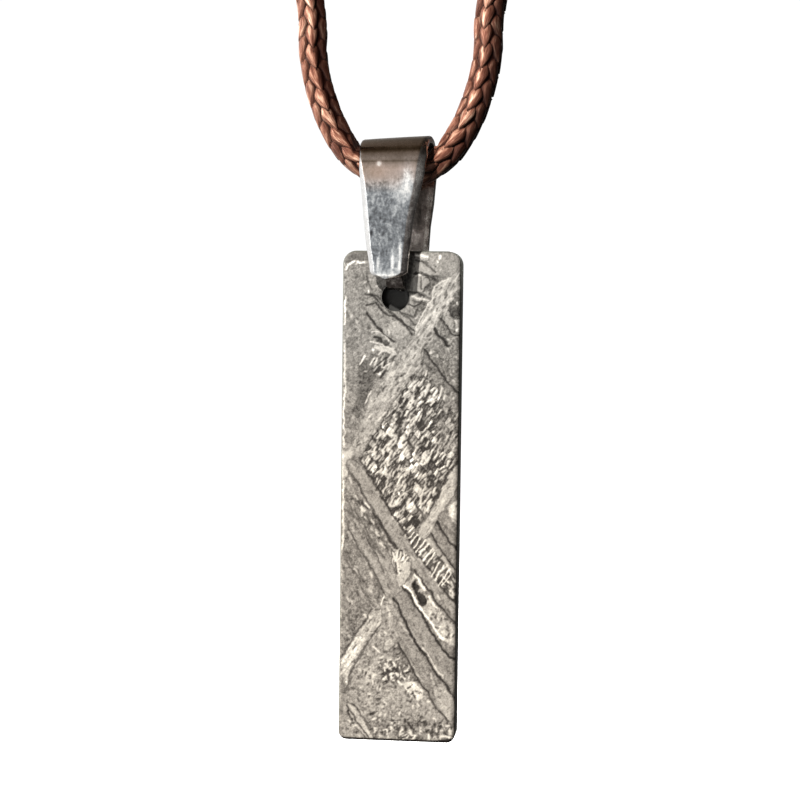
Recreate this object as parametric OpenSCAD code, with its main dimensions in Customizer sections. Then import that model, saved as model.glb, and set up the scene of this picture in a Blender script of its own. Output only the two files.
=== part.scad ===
/* [Bar] */
// length of the bar from end to end, mm
bar_l = 40; // [36:1:46]
// width of the bar's face, mm
bar_w = 9.6; // [8.6:0.2:12]
// thickness of the bar, mm
bar_t = 3; // [2.6:0.1:3.2]
// corner radius at the hole's end, mm
top_r = 1.1; // [0.6:0.1:2]
// corner radius at the free end, mm
low_r = 0.7; // [0.5:0.1:2]
// bevel along both faces' edges, mm
bar_bevel = 0.3; // [0.1:0.1:0.4]
// hole across, drilled from both faces, mm
hole_d = 2.2; // [2.2:0.1:2.6]
// distance from the bar's end to the hole's centre, mm
hole_drop = 3.75; // [3.2:0.05:5]
// distance of the hole's centre from the face's centre line, mm
hole_shift = 0.5; // [0:0.1:0.8]
// web left in the bar between the two drilled holes, mm
web_t = 0.4; // [0.2:0.1:0.5]

/* [Bail] */
// thickness of the bail's strip, mm
strip_t = 0.55; // [0.5:0.05:0.7]
// width of the strip over the bend, mm
crest_w = 5.6; // [5.2:0.1:6.2]
// width of the strip where the bend meets the legs, mm
shoulder_w = 5.3; // [4.6:0.1:5.6]
// width of the legs half way down, mm
waist_w = 3.9; // [3:0.1:4.4]
// width of the legs at their rounded ends, mm
tip_w = 3; // [2.4:0.1:3.2]
// height of the arc that rounds the end of each leg, mm
end_arc = 0.6; // [0.3:0.05:0.7]
// width of the tongue below each leg, mm
tongue_w = 1.45; // [1:0.05:1.6]
// height from the hole's centre to the outside of the bend, mm
bail_rise = 12.95; // [12:0.05:15]
// outward lean of each leg from the bend to its end, mm
leg_lean = 0.45; // [0.3:0.05:0.7]
// width of each peg in the hole, mm
peg_w = 1.1; // [0.8:0.05:1.1]
// thickness of the pegs, mm
peg_t = 0.4; // [0.3:0.05:0.5]
// gap between the top of the pegs and the hole's wall, mm
peg_gap = 0.12; // [0.1:0.01:0.2]
// depth of each peg in the hole, mm
peg_depth = 1; // [0.6:0.05:1]
// distance from the hole's centre up to the middle of the leg's rounded end, mm
end_drop = 1.45; // [1.2:0.05:2]
// length of the inside of the leg that each tongue grows from, mm
root_l = 0.6; // [0.4:0.1:0.9]
// gap between the wide part of a tongue and the bar's face, mm
face_gap = 0.25; // [0.2:0.05:0.3]
// turn of the bail about the upright, degrees
bail_yaw = -11; // [-12:1:0]

/* [Cord] */
// cord across, mm
cord_d = 2.4; // [2:0.1:2.6]
// cord across where the bail squeezes it, mm
squeeze_d = 1.9; // [1.7:0.05:1.9]
// room between the cord and the inside of the bend, mm
cord_room = 1.1; // [1.1:0.05:1.4]
// height of the bend's axis above the cord's lowest centre, mm
bend_lift = 0.3; // [0.25:0.05:0.4]
// height of the loop from its lowest centre to the clasp's axis, mm
loop_h = 145; // [130:1:160]

/* [Clasp] */
// length of the clasp, mm
clasp_l = 24; // [20:0.5:28]
// clasp across, mm
clasp_d = 4.6; // [4.2:0.1:6]
// chamfer on the clasp's ends, mm
clasp_chamfer = 0.4; // [0.2:0.1:0.5]
// depth of the bore for each cord end, mm
bore_depth = 8; // [6:0.5:8.5]
// clearance between cord and bore, all round, mm
bore_room = 0.15; // [0.1:0.05:0.2]
// distance between a cord end and the bottom of its bore, mm
end_room = 0.3; // [0.2:0.1:1]

/* [Hidden] */
$fn = 64;
// small overlap for cuts, mm
eps = 0.02;

// the origin is the underside of the clasp, where a neck carries it
clasp_z = clasp_d / 2;
low_z = clasp_z - loop_h;
bend_z = low_z + bend_lift;
bend_in = cord_d / 2 + cord_room;
bend_out = bend_in + strip_t;
crest_z = bend_z + bend_out;
hole_z = crest_z - bail_rise;
bar_top_z = hole_z + hole_drop;

// heights in the bail, measured from the bend's axis
hole_h = hole_z - bend_z;
end_h = hole_h + end_drop;
tip_y = bend_in + leg_lean;
peg_r = hole_d / 2 - peg_gap;
peg_top = hole_h + peg_r;
peg_low = peg_top - peg_t;
face_y = bar_t / 2 + face_gap;
peg_end_y = bar_t / 2 - peg_depth;
hole_depth = (bar_t - web_t) / 2;

// cord centre points on one side, from the lowest point up, mm
near_half = [
    [1.5, 0.22], [2.8, 0.85], [3.85, 1.8], [4.85, 3.1],
    [5.7, 4.7], [6.55, 7.1], [7.1, 9.8], [7.45, 14.5]
];
far_half = [
    [10, 24], [18, 36], [31, 49], [47, 63], [61, 79],
    [70, 98], [71, 117], [62, 133], [42, 143]
];
// loop height that the far points were chosen for, mm
far_h = 145;
near_top = near_half[len(near_half) - 1];
far_k = (loop_h - near_top[1]) / (far_h - near_top[1]);
clasp_mouth = clasp_l / 2;
cord_end = clasp_mouth - bore_depth + end_room;
// straight length of cord outside each mouth, mm
mouth_run = 3;
ends_half = [[clasp_mouth + mouth_run, loop_h], [cord_end, loop_h]];

function far_at(p) = [
    near_top[0] + (p[0] - near_top[0]) * far_k,
    near_top[1] + (p[1] - near_top[1]) * far_k
];
half_route = concat(near_half, [for (p = far_half) far_at(p)], ends_half);
n_half = len(half_route);
route = concat(
    [for (i = [n_half - 1 : -1 : 0]) [-half_route[i][0], half_route[i][1]]],
    [[0, 0]],
    half_route
);

// smooth curve through the points, two steps between neighbours
steps = 2;
last = len(route) - 1;
function at(i) =
    i < 0 ? 2 * route[0] - route[1]
    : i > last ? 2 * route[last] - route[last - 1]
    : route[i];
function curve(a, b, c, d, t) = 0.5 * (
    2 * b + (c - a) * t
    + (2 * a - 5 * b + 4 * c - d) * t * t
    + (3 * b - a - 3 * c + d) * t * t * t
);
path = concat(
    [for (i = [0 : last - 1], k = [0 : steps - 1])
        curve(at(i - 1), at(i), at(i + 1), at(i + 2), k / steps)],
    [route[last]]
);
rings = len(path);

// the cord is squeezed near its lowest point and full from there up
squeeze_h = near_half[3][1];
full_h = near_half[5][1];
function share(z) = min(1, max(0, (z - squeeze_h) / (full_h - squeeze_h)));
function cord_r(z) = (squeeze_d + (cord_d - squeeze_d) * share(z)) / 2;
function dir(i) =
    let (d = path[min(i + 1, rings - 1)] - path[max(i - 1, 0)])
    d / norm(d);

// sides of the cord's tube
sides = 8;
tube_points = [
    for (i = [0 : rings - 1], k = [0 : sides - 1])
        let (t = dir(i), c = path[i], r = cord_r(c[1]), a = 360 * (k + 0.5) / sides)
        [
            c[0] - t[1] * r * cos(a),
            r * sin(a),
            low_z + c[1] + t[0] * r * cos(a)
        ]
];
tube_faces = concat(
    [[for (k = [0 : sides - 1]) k]],
    [for (i = [0 : rings - 2], k = [0 : sides - 1])
        let (a = i * sides, n = (k + 1) % sides)
        [a + k, a + sides + k, a + sides + n, a + n]],
    [[for (k = [sides - 1 : -1 : 0]) (rings - 1) * sides + k]]
);

// the face's outline with rounded corners, drawn in by an inset
module face_outline(inset) {
    w = bar_w / 2 - inset;
    top = bar_top_z - inset;
    low = bar_top_z - bar_l + inset;
    rt = top_r - inset;
    rl = low_r - inset;
    translate([hole_shift, 0]) hull() {
        for (s = [-1, 1]) {
            translate([s * (w - rt), top - rt]) circle(r = rt, $fn = 48);
            translate([s * (w - rl), low + rl]) circle(r = rl, $fn = 48);
        }
    }
}

module bar() {
    color([0.5, 0.48, 0.45])
    difference() {
        hull() {
            rotate([90, 0, 0])
                linear_extrude(height = bar_t - 2 * bar_bevel, center = true)
                    face_outline(0);
            rotate([90, 0, 0])
                linear_extrude(height = bar_t, center = true)
                    face_outline(bar_bevel);
        }
        for (s = [0, 180])
            rotate([0, 0, s])
                translate([0, -bar_t / 2 + hole_depth, hole_z])
                    rotate([90, 0, 0])
                        cylinder(d = hole_d, h = hole_depth + 1);
    }
}

// the strip seen from the side: the bend and its two legs
module strip_side() {
    difference() {
        union() {
            circle(r = bend_out);
            for (s = [-1, 1])
                polygon([
                    [s * (bend_in - strip_t), 0], [s * bend_out, 0],
                    [s * (tip_y + strip_t), end_h], [s * (tip_y - strip_t), end_h]
                ]);
        }
        circle(r = bend_in);
        polygon([
            [-bend_in, 0], [bend_in, 0],
            [tip_y, end_h], [tip_y, end_h - 1],
            [-tip_y, end_h - 1], [-tip_y, end_h]
        ]);
    }
}

// the strip seen from the front: it narrows towards the rounded ends of the legs
module strip_front() {
    waist_h = end_h / 2;
    polygon([
        [-crest_w / 2, bend_out + eps], [crest_w / 2, bend_out + eps],
        [shoulder_w / 2, 0], [waist_w / 2, waist_h], [tip_w / 2, end_h + end_arc],
        [tip_w / 3, end_h + end_arc / 3], [tip_w / 8, end_h],
        [-tip_w / 8, end_h], [-tip_w / 3, end_h + end_arc / 3],
        [-tip_w / 2, end_h + end_arc], [-waist_w / 2, waist_h], [-shoulder_w / 2, 0]
    ]);
}

// one tongue seen from the side, from the inside of the leg to the bar's face
module tongue_side() {
    root_y = tip_y + strip_t / 2;
    root_low = end_h + end_arc / 3;
    polygon([
        [-root_y, root_low + root_l], [-tip_y, root_low + root_l], [-face_y, peg_top],
        [-face_y + eps, peg_top], [-face_y + eps, peg_low], [-face_y, peg_low],
        [-root_y, root_low]
    ]);
}

module tongue_and_peg() {
    rotate([90, 0, 90])
        linear_extrude(height = tongue_w, center = true)
            tongue_side();
    intersection() {
        translate([0, -face_y - eps, hole_h])
            rotate([-90, 0, 0])
                cylinder(r = peg_r, h = face_y + eps - peg_end_y);
        translate([-peg_w / 2, -face_y - 1, peg_low])
            cube([peg_w, face_y + 1, peg_t + 1]);
    }
}

module bail() {
    color([0.75, 0.73, 0.7])
    translate([0, 0, bend_z])
        rotate([0, 0, bail_yaw]) {
            intersection() {
                rotate([90, 0, 90])
                    linear_extrude(height = crest_w + 1, center = true)
                        strip_side();
                rotate([90, 0, 0])
                    linear_extrude(height = 2 * (tip_y + strip_t + 1), center = true)
                        strip_front();
            }
            for (s = [0, 180])
                rotate([0, 0, s]) tongue_and_peg();
        }
}

module cord() {
    color([0.4, 0.25, 0.18])
    polyhedron(points = tube_points, faces = tube_faces, convexity = 6);
}

module clasp() {
    r = clasp_d / 2;
    bore_r = cord_d / 2 + bore_room;
    color([0.7, 0.7, 0.7])
    translate([0, 0, clasp_z])
        rotate([0, 90, 0])
            rotate_extrude()
                polygon([
                    [0, -(clasp_mouth - bore_depth)], [bore_r, -(clasp_mouth - bore_depth)],
                    [bore_r, -clasp_mouth], [r - clasp_chamfer, -clasp_mouth],
                    [r, -clasp_mouth + clasp_chamfer], [r, clasp_mouth - clasp_chamfer],
                    [r - clasp_chamfer, clasp_mouth], [bore_r, clasp_mouth],
                    [bore_r, clasp_mouth - bore_depth], [0, clasp_mouth - bore_depth]
                ]);
}

bar();
bail();
cord();
clasp();
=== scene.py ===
import math
import bpy
import numpy as np
from mathutils import Matrix, Vector


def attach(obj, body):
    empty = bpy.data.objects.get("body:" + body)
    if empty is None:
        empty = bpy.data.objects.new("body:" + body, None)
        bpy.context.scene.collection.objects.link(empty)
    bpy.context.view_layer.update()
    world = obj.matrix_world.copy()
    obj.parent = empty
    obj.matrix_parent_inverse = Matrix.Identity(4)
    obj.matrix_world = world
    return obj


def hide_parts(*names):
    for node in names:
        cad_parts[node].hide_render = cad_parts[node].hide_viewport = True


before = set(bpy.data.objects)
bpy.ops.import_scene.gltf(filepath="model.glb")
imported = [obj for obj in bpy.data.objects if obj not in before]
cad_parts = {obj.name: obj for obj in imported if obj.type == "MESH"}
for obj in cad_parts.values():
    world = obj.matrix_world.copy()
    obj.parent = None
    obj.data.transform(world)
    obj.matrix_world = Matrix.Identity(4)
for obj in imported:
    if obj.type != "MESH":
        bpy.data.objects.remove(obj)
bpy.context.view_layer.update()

MM = 0.001

# the main heights and sizes, in mm, as in the part
CLASP_Z = 2.3
LOW_Z = CLASP_Z - 145.0
BEND_Z = LOW_Z + 0.3
BEND_IN = 2.3
STRIP_T = 0.55
CREST_Z = BEND_Z + BEND_IN + STRIP_T
HOLE_Z = CREST_Z - 12.95
HOLE_R, HOLE_DEPTH = 1.1, 1.3
BAR_W, BAR_L, BAR_T = 9.6, 40.0, 3.0
BAR_X = 0.5
BAR_TOP = HOLE_Z + 3.75
BAIL_YAW = math.radians(-11)

# the bail's own heights, measured from the bend's axis
HOLE_H = HOLE_Z - BEND_Z
END_H = HOLE_H + 1.45
LEG_SPREAD = 0.45
TIP_Y = BEND_IN + LEG_SPREAD
PEG_R = HOLE_R - 0.12
PEG_T = 0.4
FACE_Y = BAR_T / 2 + 0.25
PEG_END_Y = BAR_T / 2 - 1.0

# the view: the place looked at, the distance in m, the focal length and the picture's width in pixels
LOOK_AT = (0.335, 0, HOLE_Z - 8.37)
VIEW_DISTANCE = 0.1579
FOCAL_PX, WIDTH_PX, SENSOR = 1932, 800, 36

scene = bpy.context.scene
scene.view_settings.view_transform = "Standard"


def set_camera():
    azimuth, elevation, roll = math.radians(6.7), math.radians(2.87), math.radians(0.69)
    back = Vector((math.sin(azimuth) * math.cos(elevation),
                   -math.cos(azimuth) * math.cos(elevation), math.sin(elevation)))
    right = Vector((math.cos(azimuth), math.sin(azimuth), 0))
    up = back.cross(right)
    side = right * math.cos(roll) + up * math.sin(roll)
    top = up * math.cos(roll) - right * math.sin(roll)
    data = bpy.data.cameras.new("camera")
    data.sensor_width = SENSOR
    data.lens = FOCAL_PX / WIDTH_PX * SENSOR
    data.clip_start = 0.01
    cam = bpy.data.objects.new("camera", data)
    spot = Vector(LOOK_AT) * MM + back * VIEW_DISTANCE
    turn = Matrix((side, top, back)).transposed().to_4x4()
    cam.matrix_world = Matrix.Translation(spot) @ turn
    scene.collection.objects.link(cam)
    scene.camera = cam


set_camera()


def mesh_object(name, verts, faces, attrs=None):
    """verts in mm, faces as index tuples, attrs as point attributes by name."""
    mesh = bpy.data.meshes.new(name)
    verts = np.asarray(verts, dtype=float) * MM
    mesh.from_pydata(verts.tolist(), [], [tuple(f) for f in faces])
    for key, values in (attrs or {}).items():
        layer = mesh.attributes.new(key, "FLOAT", "POINT")
        layer.data.foreach_set("value", np.asarray(values, dtype=np.float32))
    mesh.polygons.foreach_set("use_smooth", [True] * len(mesh.polygons))
    mesh.update()
    obj = bpy.data.objects.new(name, mesh)
    scene.collection.objects.link(obj)
    return obj


# the cord's route, the part's own points, x and height above the lowest point
NEAR = [(1.5, 0.22), (2.8, 0.85), (3.85, 1.8), (4.85, 3.1),
        (5.7, 4.7), (6.55, 7.1), (7.1, 9.8), (7.45, 14.5)]
FAR = [(10, 24), (18, 36), (31, 49), (47, 63), (61, 79), (70, 98), (71, 117), (62, 133), (42, 143)]
ENDS = [(15, 145), (4.3, 145)]
HALF = NEAR + FAR + ENDS
ROUTE = [(-x, z) for x, z in HALF[::-1]] + [(0, 0)] + HALF


def smooth_route(steps):
    """a smooth line through the route's points, with so many steps from one to the next"""
    pts = np.array([2 * np.array(ROUTE[0]) - ROUTE[1], *ROUTE, 2 * np.array(ROUTE[-1]) - ROUTE[-2]])
    out = []
    for i in range(1, len(pts) - 2):
        a, b, c, d = pts[i - 1:i + 3]
        for k in range(steps):
            t = k / steps
            out.append(0.5 * (2 * b + (c - a) * t + (2 * a - 5 * b + 4 * c - d) * t * t
                              + (3 * b - a - 3 * c + d) * t ** 3))
    out.append(pts[-2])
    return np.array(out)


LINE = smooth_route(48)
ARC = np.concatenate([[0], np.cumsum(np.linalg.norm(np.diff(LINE, axis=0), axis=1))])
CORD_L = ARC[-1]
ARC -= CORD_L / 2


def along(s):
    """place and direction of the cord's centre at arc length s"""
    (x, z), ahead, behind = ([np.interp(s + e, ARC, LINE[:, k]) for k in (0, 1)] for e in (0, 0.4, -0.4))
    dx, dz = ahead[0] - behind[0], ahead[1] - behind[1]
    n = np.hypot(dx, dz)
    return x, z, dx / n, dz / n


def cord_scale(x):
    """share of the full thickness: the bail squeezes the cord a little"""
    return 0.88 + 0.12 * np.clip((np.abs(x) - 2.9) / 1.0, 0, 1)


def to_space(s, radial, theta):
    """places at arc length s, the distance radial from the cord's centre and the angle theta around it"""
    x, z, dx, dz = along(s)
    k = cord_scale(x)
    u, v = radial * k * np.cos(theta), radial * k * np.sin(theta)
    return np.stack([x - dz * u, v, LOW_Z + z + dx * u], axis=-1)


# within the bend the cord keeps to this radius, up to this distance from the bend's middle
CLEAR_R, CLEAR_TO, FREE_FROM = 2.14, 3.3, 3.8


def inside_bail(points):
    """points within the bend are drawn in to clear its inner face"""
    axis = np.array([math.cos(BAIL_YAW), math.sin(BAIL_YAW), 0.0])
    rel = points - (0, 0, BEND_Z)
    run = rel @ axis
    radial = rel - run[:, None] * axis
    r = np.linalg.norm(radial, axis=1)
    off = np.abs(run)
    limit = np.where(off < FREE_FROM, CLEAR_R + (off - CLEAR_TO) * 3, 999.0)
    limit = np.where(off < CLEAR_TO, CLEAR_R, limit)
    k = np.where(r < 6, np.minimum(1, limit / np.maximum(r, 1e-6)), 1)
    return points + radial * (k - 1)[:, None]


# the braid shows six columns of pointed leaves, each leaf a stretch of one strand, with the tips downward
LEAF_L, LEAF_W, LEAF_LEAN = 1.7, 0.80, 0.12
COLUMNS, TWIST = 6, math.radians(36)
CORD_R, DOME, GROOVE = 1.22, 0.22, 0.08


def leaves(theta, t, turned):
    """the foremost leaf at each place: its height, the next leaf's height and the place's marks on it"""
    rng = np.random.default_rng(5)
    rows = int(CORD_L / 2 / LEAF_L) + 6
    jitter = rng.standard_normal((5, rows, COLUMNS))
    turn = (theta - TWIST) / (2 * math.pi / COLUMNS)
    near = np.floor(turn + 0.5).astype(int)
    best = np.full(theta.shape, -9.0)
    second = np.full(theta.shape, -9.0)
    marks = np.zeros((6, *theta.shape))
    for side in (-1, 0, 1):
        column = near + side
        c = column % COLUMNS
        odd = (c % 2) * 0.5
        first = np.floor(t / LEAF_L - odd).astype(int)
        for step in (-1, 0, 1):
            j = first + step
            pick = (np.clip(j + 2, 0, rows - 1), c)
            top = (j + 1 + odd + 0.07 * jitter[0][pick]) * LEAF_L
            y = (top - t) / LEAF_L
            wide = np.clip(1 - (y - 0.3) / 0.88, 0, 1) ** 0.7
            wide = np.where(y < 0.3, np.clip((y + 0.2) / 0.5, 0, 1) ** 0.5, wide)
            wide = np.maximum(LEAF_W * wide * (1 + 0.07 * jitter[1][pick]), 0.02)
            lean = np.where(c % 2 == 0, LEAF_LEAN, -LEAF_LEAN) + 0.05 * jitter[2][pick]
            x = (turn - column) * (2 * math.pi / COLUMNS) * CORD_R - lean * (y - 0.5) * LEAF_L
            q = np.abs(x) / wide
            h = 0.05 * y - DOME * q ** 2.4 - 0.3 * np.clip((0.2 - y) / 0.4, 0, 2) ** 2
            h = h + 0.01 * jitter[3][pick]
            h = np.where((y < -0.2) | (y > 1.3), -5.0, h)
            ahead = h > best
            second = np.where(ahead, best, np.maximum(second, h))
            best = np.where(ahead, h, best)
            here = (q, x / wide * turned, y, jitter[1][pick],
                    x / wide + 2.7 * jitter[4][pick], jitter[3][pick])
            marks = np.where(ahead, here, marks)
    return best, second, marks


def braid_surface(theta, t, turned, right):
    """radius, painted shade, place across the strand and tint of the braid; the tint carries a painted
    highlight

    theta is the angle around the cord, t the distance from the bail, turned and right say how far the
    surface's own direction and its place are to the right as seen from the front"""
    best, second, (core, flank, depth, luck, across, tint) = leaves(theta, t, turned)
    line = np.exp(-((best - second) / 0.06) ** 2)
    fibre = np.cos(across * 9) * 0.012 * np.clip(1 - core, 0, 1)
    radius = np.maximum(CORD_R + best - GROOVE * line - 0.03 + fibre, 0.98)
    # painted shade: the dark lines between the leaves, the dark right flank of each leaf and its darker edges
    soft = 0.7 - 0.4 * np.clip(-2 * right - 0.4, 0, 1)
    shade = (1 - 0.8 * line) * (1 - soft * np.clip(flank + 0.05, 0, 1) ** 1.3)
    shade *= np.clip(1.2 - 0.4 * core ** 2, 0.15, 1)
    # painted shade: the whole cord is darker along its right side
    painted_shade_right = np.clip((right - 0.12) / 0.45, 0, 1)
    shade *= 1 - 0.66 * painted_shade_right
    # painted highlight: the pale streak at the left of a leaf
    streak = np.exp(-((flank + 0.34 + 0.1 * np.sin(7 * depth + 2 * luck)) / 0.24) ** 2)
    streak *= (np.clip(1.25 - np.abs(depth - 0.45 - 0.1 * luck) * 2, 0, 1)
               * np.clip(0.8 + 0.35 * luck, 0.2, 1.2))
    return radius, shade, across, 0.5 * tint + 3.2 * streak * (1 - painted_shade_right)


def build_cord():
    half, shown = CORD_L / 2, 24.0
    # points around the cord and distance between its rings, near the bail and farther off
    fine, coarse = 112, 28
    near_step, far_step = 0.1, 0.5
    near_s = np.arange(-shown, shown + 0.01, near_step)
    far_s = np.linspace(shown, half, int((half - shown) / far_step) + 1)[1:]
    verts, faces, values = [], [], []
    turn = 0.02

    def ring_set(s, sides):
        """the rings at the arc lengths s; gives the first number of the first and of the last ring"""
        theta = np.tile(np.arange(sides) * 2 * math.pi / sides, len(s))
        place = np.repeat(s, sides)
        skin = to_space(place, CORD_R, theta)[:, 0]
        step = to_space(place, CORD_R, theta + turn)[:, 0] - skin
        turned = np.clip(2 * step / (turn * CORD_R), -1, 1)
        right = (skin - to_space(place, 0.0, theta)[:, 0]) / CORD_R
        radius, shade, across, tint = braid_surface(theta, np.abs(place), turned, right)
        start = sum(len(v) for v in verts)
        verts.append(inside_bail(to_space(place, radius, theta)))
        values.append((shade, across, place, tint))
        for r in range(len(s) - 1):
            a, b = start + r * sides, start + (r + 1) * sides
            for k in range(sides):
                n = (k + 1) % sides
                faces.append((a + k, b + k, b + n, a + n))
        return start, start + (len(s) - 1) * sides

    low, high = ring_set(near_s, fine)
    left_end, left_start = ring_set(-far_s[::-1], coarse)
    right_start, right_end = ring_set(far_s, coarse)
    part = fine // coarse
    for k in range(coarse):
        n = (k + 1) % coarse
        inner = [(part * k + m) % fine for m in range(part + 1)]
        faces.append((left_start + k, *[low + m for m in inner], left_start + n))
        faces.append((*[high + m for m in inner][::-1], right_start + k, right_start + n))
    faces.append(tuple(left_end + k for k in range(coarse)))
    faces.append(tuple(right_end + k for k in range(coarse))[::-1])
    attrs = dict(zip(("shade", "across", "along", "tint"), np.concatenate(values, axis=1)))
    return mesh_object("cord_braid", np.concatenate(verts), faces, attrs)


# materials
class Nodes:
    """a node tree with short ways to add what the materials and the surrounding need"""

    def __init__(self, tree):
        self.tree = tree

    def feed(self, socket, value):
        """sets a number or a colour on a socket, or links another node's output to it"""
        if isinstance(value, (int, float)):
            socket.default_value = value
        elif isinstance(value, tuple):
            socket.default_value = (*value, 1)
        else:
            self.tree.links.new(value, socket)

    def add(self, kind, *values, **settings):
        """a new node with its settings and with values for its first sockets"""
        node = self.tree.nodes.new(kind)
        for key, value in settings.items():
            setattr(node, key, value)
        for socket, value in zip(node.inputs, values):
            self.feed(socket, value)
        return node

    def attribute(self, name):
        return self.add("ShaderNodeAttribute", attribute_name=name).outputs["Fac"]

    def coords(self, scale=(1, 1, 1), turn=(0, 0, 0)):
        node = self.add("ShaderNodeMapping", self.add("ShaderNodeTexCoord").outputs["Object"])
        node.inputs["Scale"].default_value = scale
        node.inputs["Rotation"].default_value = turn
        return node.outputs["Vector"]

    def noise(self, vector, scale, detail=3.0, rough=0.55):
        node = self.add("ShaderNodeTexNoise", vector)
        for name, value in (("Scale", scale), ("Detail", detail), ("Roughness", rough)):
            node.inputs[name].default_value = value
        return node.outputs["Fac"]

    def ramp(self, fac, stops):
        node = self.add("ShaderNodeValToRGB", fac)
        marks = node.color_ramp.elements
        while len(marks) < len(stops):
            marks.new(0.5)
        for mark, (place, colour) in zip(marks, stops):
            mark.position = place
            mark.color = (*colour, 1)
        return node.outputs["Color"]

    def plus(self, a, b):
        return self.add("ShaderNodeMath", a, b, operation="ADD").outputs[0]

    def times(self, a, b):
        return self.add("ShaderNodeMath", a, b, operation="MULTIPLY").outputs[0]

    def span(self, fac, lo, hi, to_lo, to_hi):
        return self.add("ShaderNodeMapRange", fac, lo, hi, to_lo, to_hi).outputs[0]

    def mix(self, fac, a, b, kind="MIX"):
        node = self.add("ShaderNodeMix", data_type="RGBA", blend_type=kind)
        for place, value in ((0, fac), (6, a), (7, b)):
            self.feed(node.inputs[place], value)
        return node.outputs[2]

    def combine(self, x, y):
        return self.add("ShaderNodeCombineXYZ", x, y, 0.0).outputs[0]

    def bump(self, height, strength, distance):
        node = self.add("ShaderNodeBump")
        for name, value in (("Strength", strength), ("Distance", distance), ("Height", height)):
            self.feed(node.inputs[name], value)
        return node.outputs["Normal"]


class Material(Nodes):
    """a material and its one shader"""

    def __init__(self, name, rough, metal=0.0):
        self.mat = bpy.data.materials.new(name)
        self.mat.use_nodes = True
        super().__init__(self.mat.node_tree)
        self.shader = self.tree.nodes["Principled BSDF"]
        self.to("Roughness", rough)
        self.to("Metallic", metal)

    def to(self, socket, value):
        self.feed(self.shader.inputs[socket], value)


def cord_material():
    m = Material("waxed_braid", rough=0.34)
    across, run, shade, tint = (m.attribute(name) for name in ("across", "along", "shade", "tint"))
    fibre = m.noise(m.combine(m.times(across, 2.2), m.times(run, 0.7)), 1.0, 2.0)
    fine = m.noise(m.combine(m.times(across, 9.0), m.times(run, 1.0)), 1.0, 2.0)
    level = m.plus(m.span(fibre, 0.25, 0.75, 0.15, 0.75), m.span(fine, 0.3, 0.7, -0.2, 0.2))
    # the tint lifts the painted highlight streaks to the cream top of the ramp
    level = m.plus(level, m.span(tint, -1.0, 3.5, -0.08, 0.42))
    copper = m.ramp(level, [
        (0.1, (0.055, 0.018, 0.011)), (0.4, (0.155, 0.058, 0.038)), (0.6, (0.3, 0.128, 0.083)),
        (0.85, (0.62, 0.37, 0.26)), (1.0, (0.95, 0.72, 0.56))])
    # painted shade darkens the colour towards black
    m.to("Base Color", m.mix(m.span(shade, 0.25, 0.98, 0.0, 1.0), (0.012, 0.003, 0.002), copper))
    m.to("Roughness", m.span(fine, 0.3, 0.7, 0.34, 0.55))
    height = m.plus(fibre, m.times(fine, 0.5))
    m.to("Normal", m.bump(height, 0.8, 0.00009))
    m.to("Metallic", 0.55)
    m.to("Specular IOR Level", 0.25)
    m.to("Coat Weight", 0.15)
    m.to("Coat Roughness", 0.25)
    return m.mat


cord = build_cord()
cord.data.materials.append(cord_material())
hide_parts("cord")
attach(cord, "necklace")


# clasp: a turned barrel with rounded ends and two shallow grooves
def build_clasp():
    half, r, bore, deep = 12.0, 2.3, 1.35, 8.0
    edge, groove, sides = 0.4, 0.12, 72
    quarter = np.linspace(0.0, math.pi / 2, 7)
    prof = [(-(half - deep), 0.0), (-(half - deep), bore), (-half + 0.1, bore), (-half, bore + 0.12)]
    prof += [(-half + edge - edge * math.cos(a), r - edge + edge * math.sin(a)) for a in quarter]
    for g in (-7.5, -0.12, 7.5):
        wide = 0.25 if abs(g) > 1 else 0.12
        prof += [(g - wide, r), (g - wide * 0.55, r - groove), (g + wide * 0.55, r - groove), (g + wide, r)]
    prof += [(half - edge + edge * math.sin(a), r - edge + edge * math.cos(a)) for a in quarter]
    prof += [(half, bore + 0.12), (half - 0.1, bore), (half - deep, bore), (half - deep, 0.0)]
    # add rings so that the long stretches shade evenly
    rings = []
    for (x0, r0), (x1, r1) in zip(prof, prof[1:]):
        k = max(1, int(abs(x1 - x0) / 1.2))
        rings += [(x0 + (x1 - x0) * i / k, r0 + (r1 - r0) * i / k) for i in range(k)]
    rings.append(prof[-1])
    verts, faces = [], []
    for x, rr in rings:
        rr = max(rr, 0.001)
        for k in range(sides):
            a = 2 * math.pi * k / sides
            verts.append((x, rr * math.cos(a), CLASP_Z + rr * math.sin(a)))
    for i in range(len(rings) - 1):
        for k in range(sides):
            n = (k + 1) % sides
            faces.append((i * sides + k, (i + 1) * sides + k, (i + 1) * sides + n, i * sides + n))
    obj = mesh_object("clasp_barrel", verts, faces)
    obj.data.set_sharp_from_angle(angle=math.radians(35))
    return obj


def steel_material(name, tint, rough):
    m = Material(name, rough=rough, metal=1.0)
    cloud = m.noise(m.coords(), 420.0, 4.0, 0.6)
    fine = m.noise(m.coords((1, 1, 0.12), (0.2, 0.1, 0.0)), 5200.0, 3.0)
    worn = m.noise(m.coords(), 1500.0, 5.0, 0.65)
    m.to("Base Color", m.mix(m.span(worn, 0.4, 0.62, 0.0, 1.0), tuple(c * 0.78 for c in tint), tint))
    m.to("Roughness", m.plus(m.span(cloud, 0.35, 0.65, rough * 0.7, rough * 1.4),
                             m.span(fine, 0.3, 0.7, -0.03, 0.05)))
    m.to("Normal", m.bump(m.plus(m.times(fine, 0.5), worn), 0.25, 0.00003))
    return m.mat


clasp = build_clasp()
clasp.data.materials.append(steel_material("brushed_steel", (0.72, 0.71, 0.69), 0.3))
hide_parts("clasp")
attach(clasp, "necklace")


# bail: one bent strip with bevelled outer edges, and a tongue and peg from the inside of each leg
CREST_H = BEND_IN + STRIP_T
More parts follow.
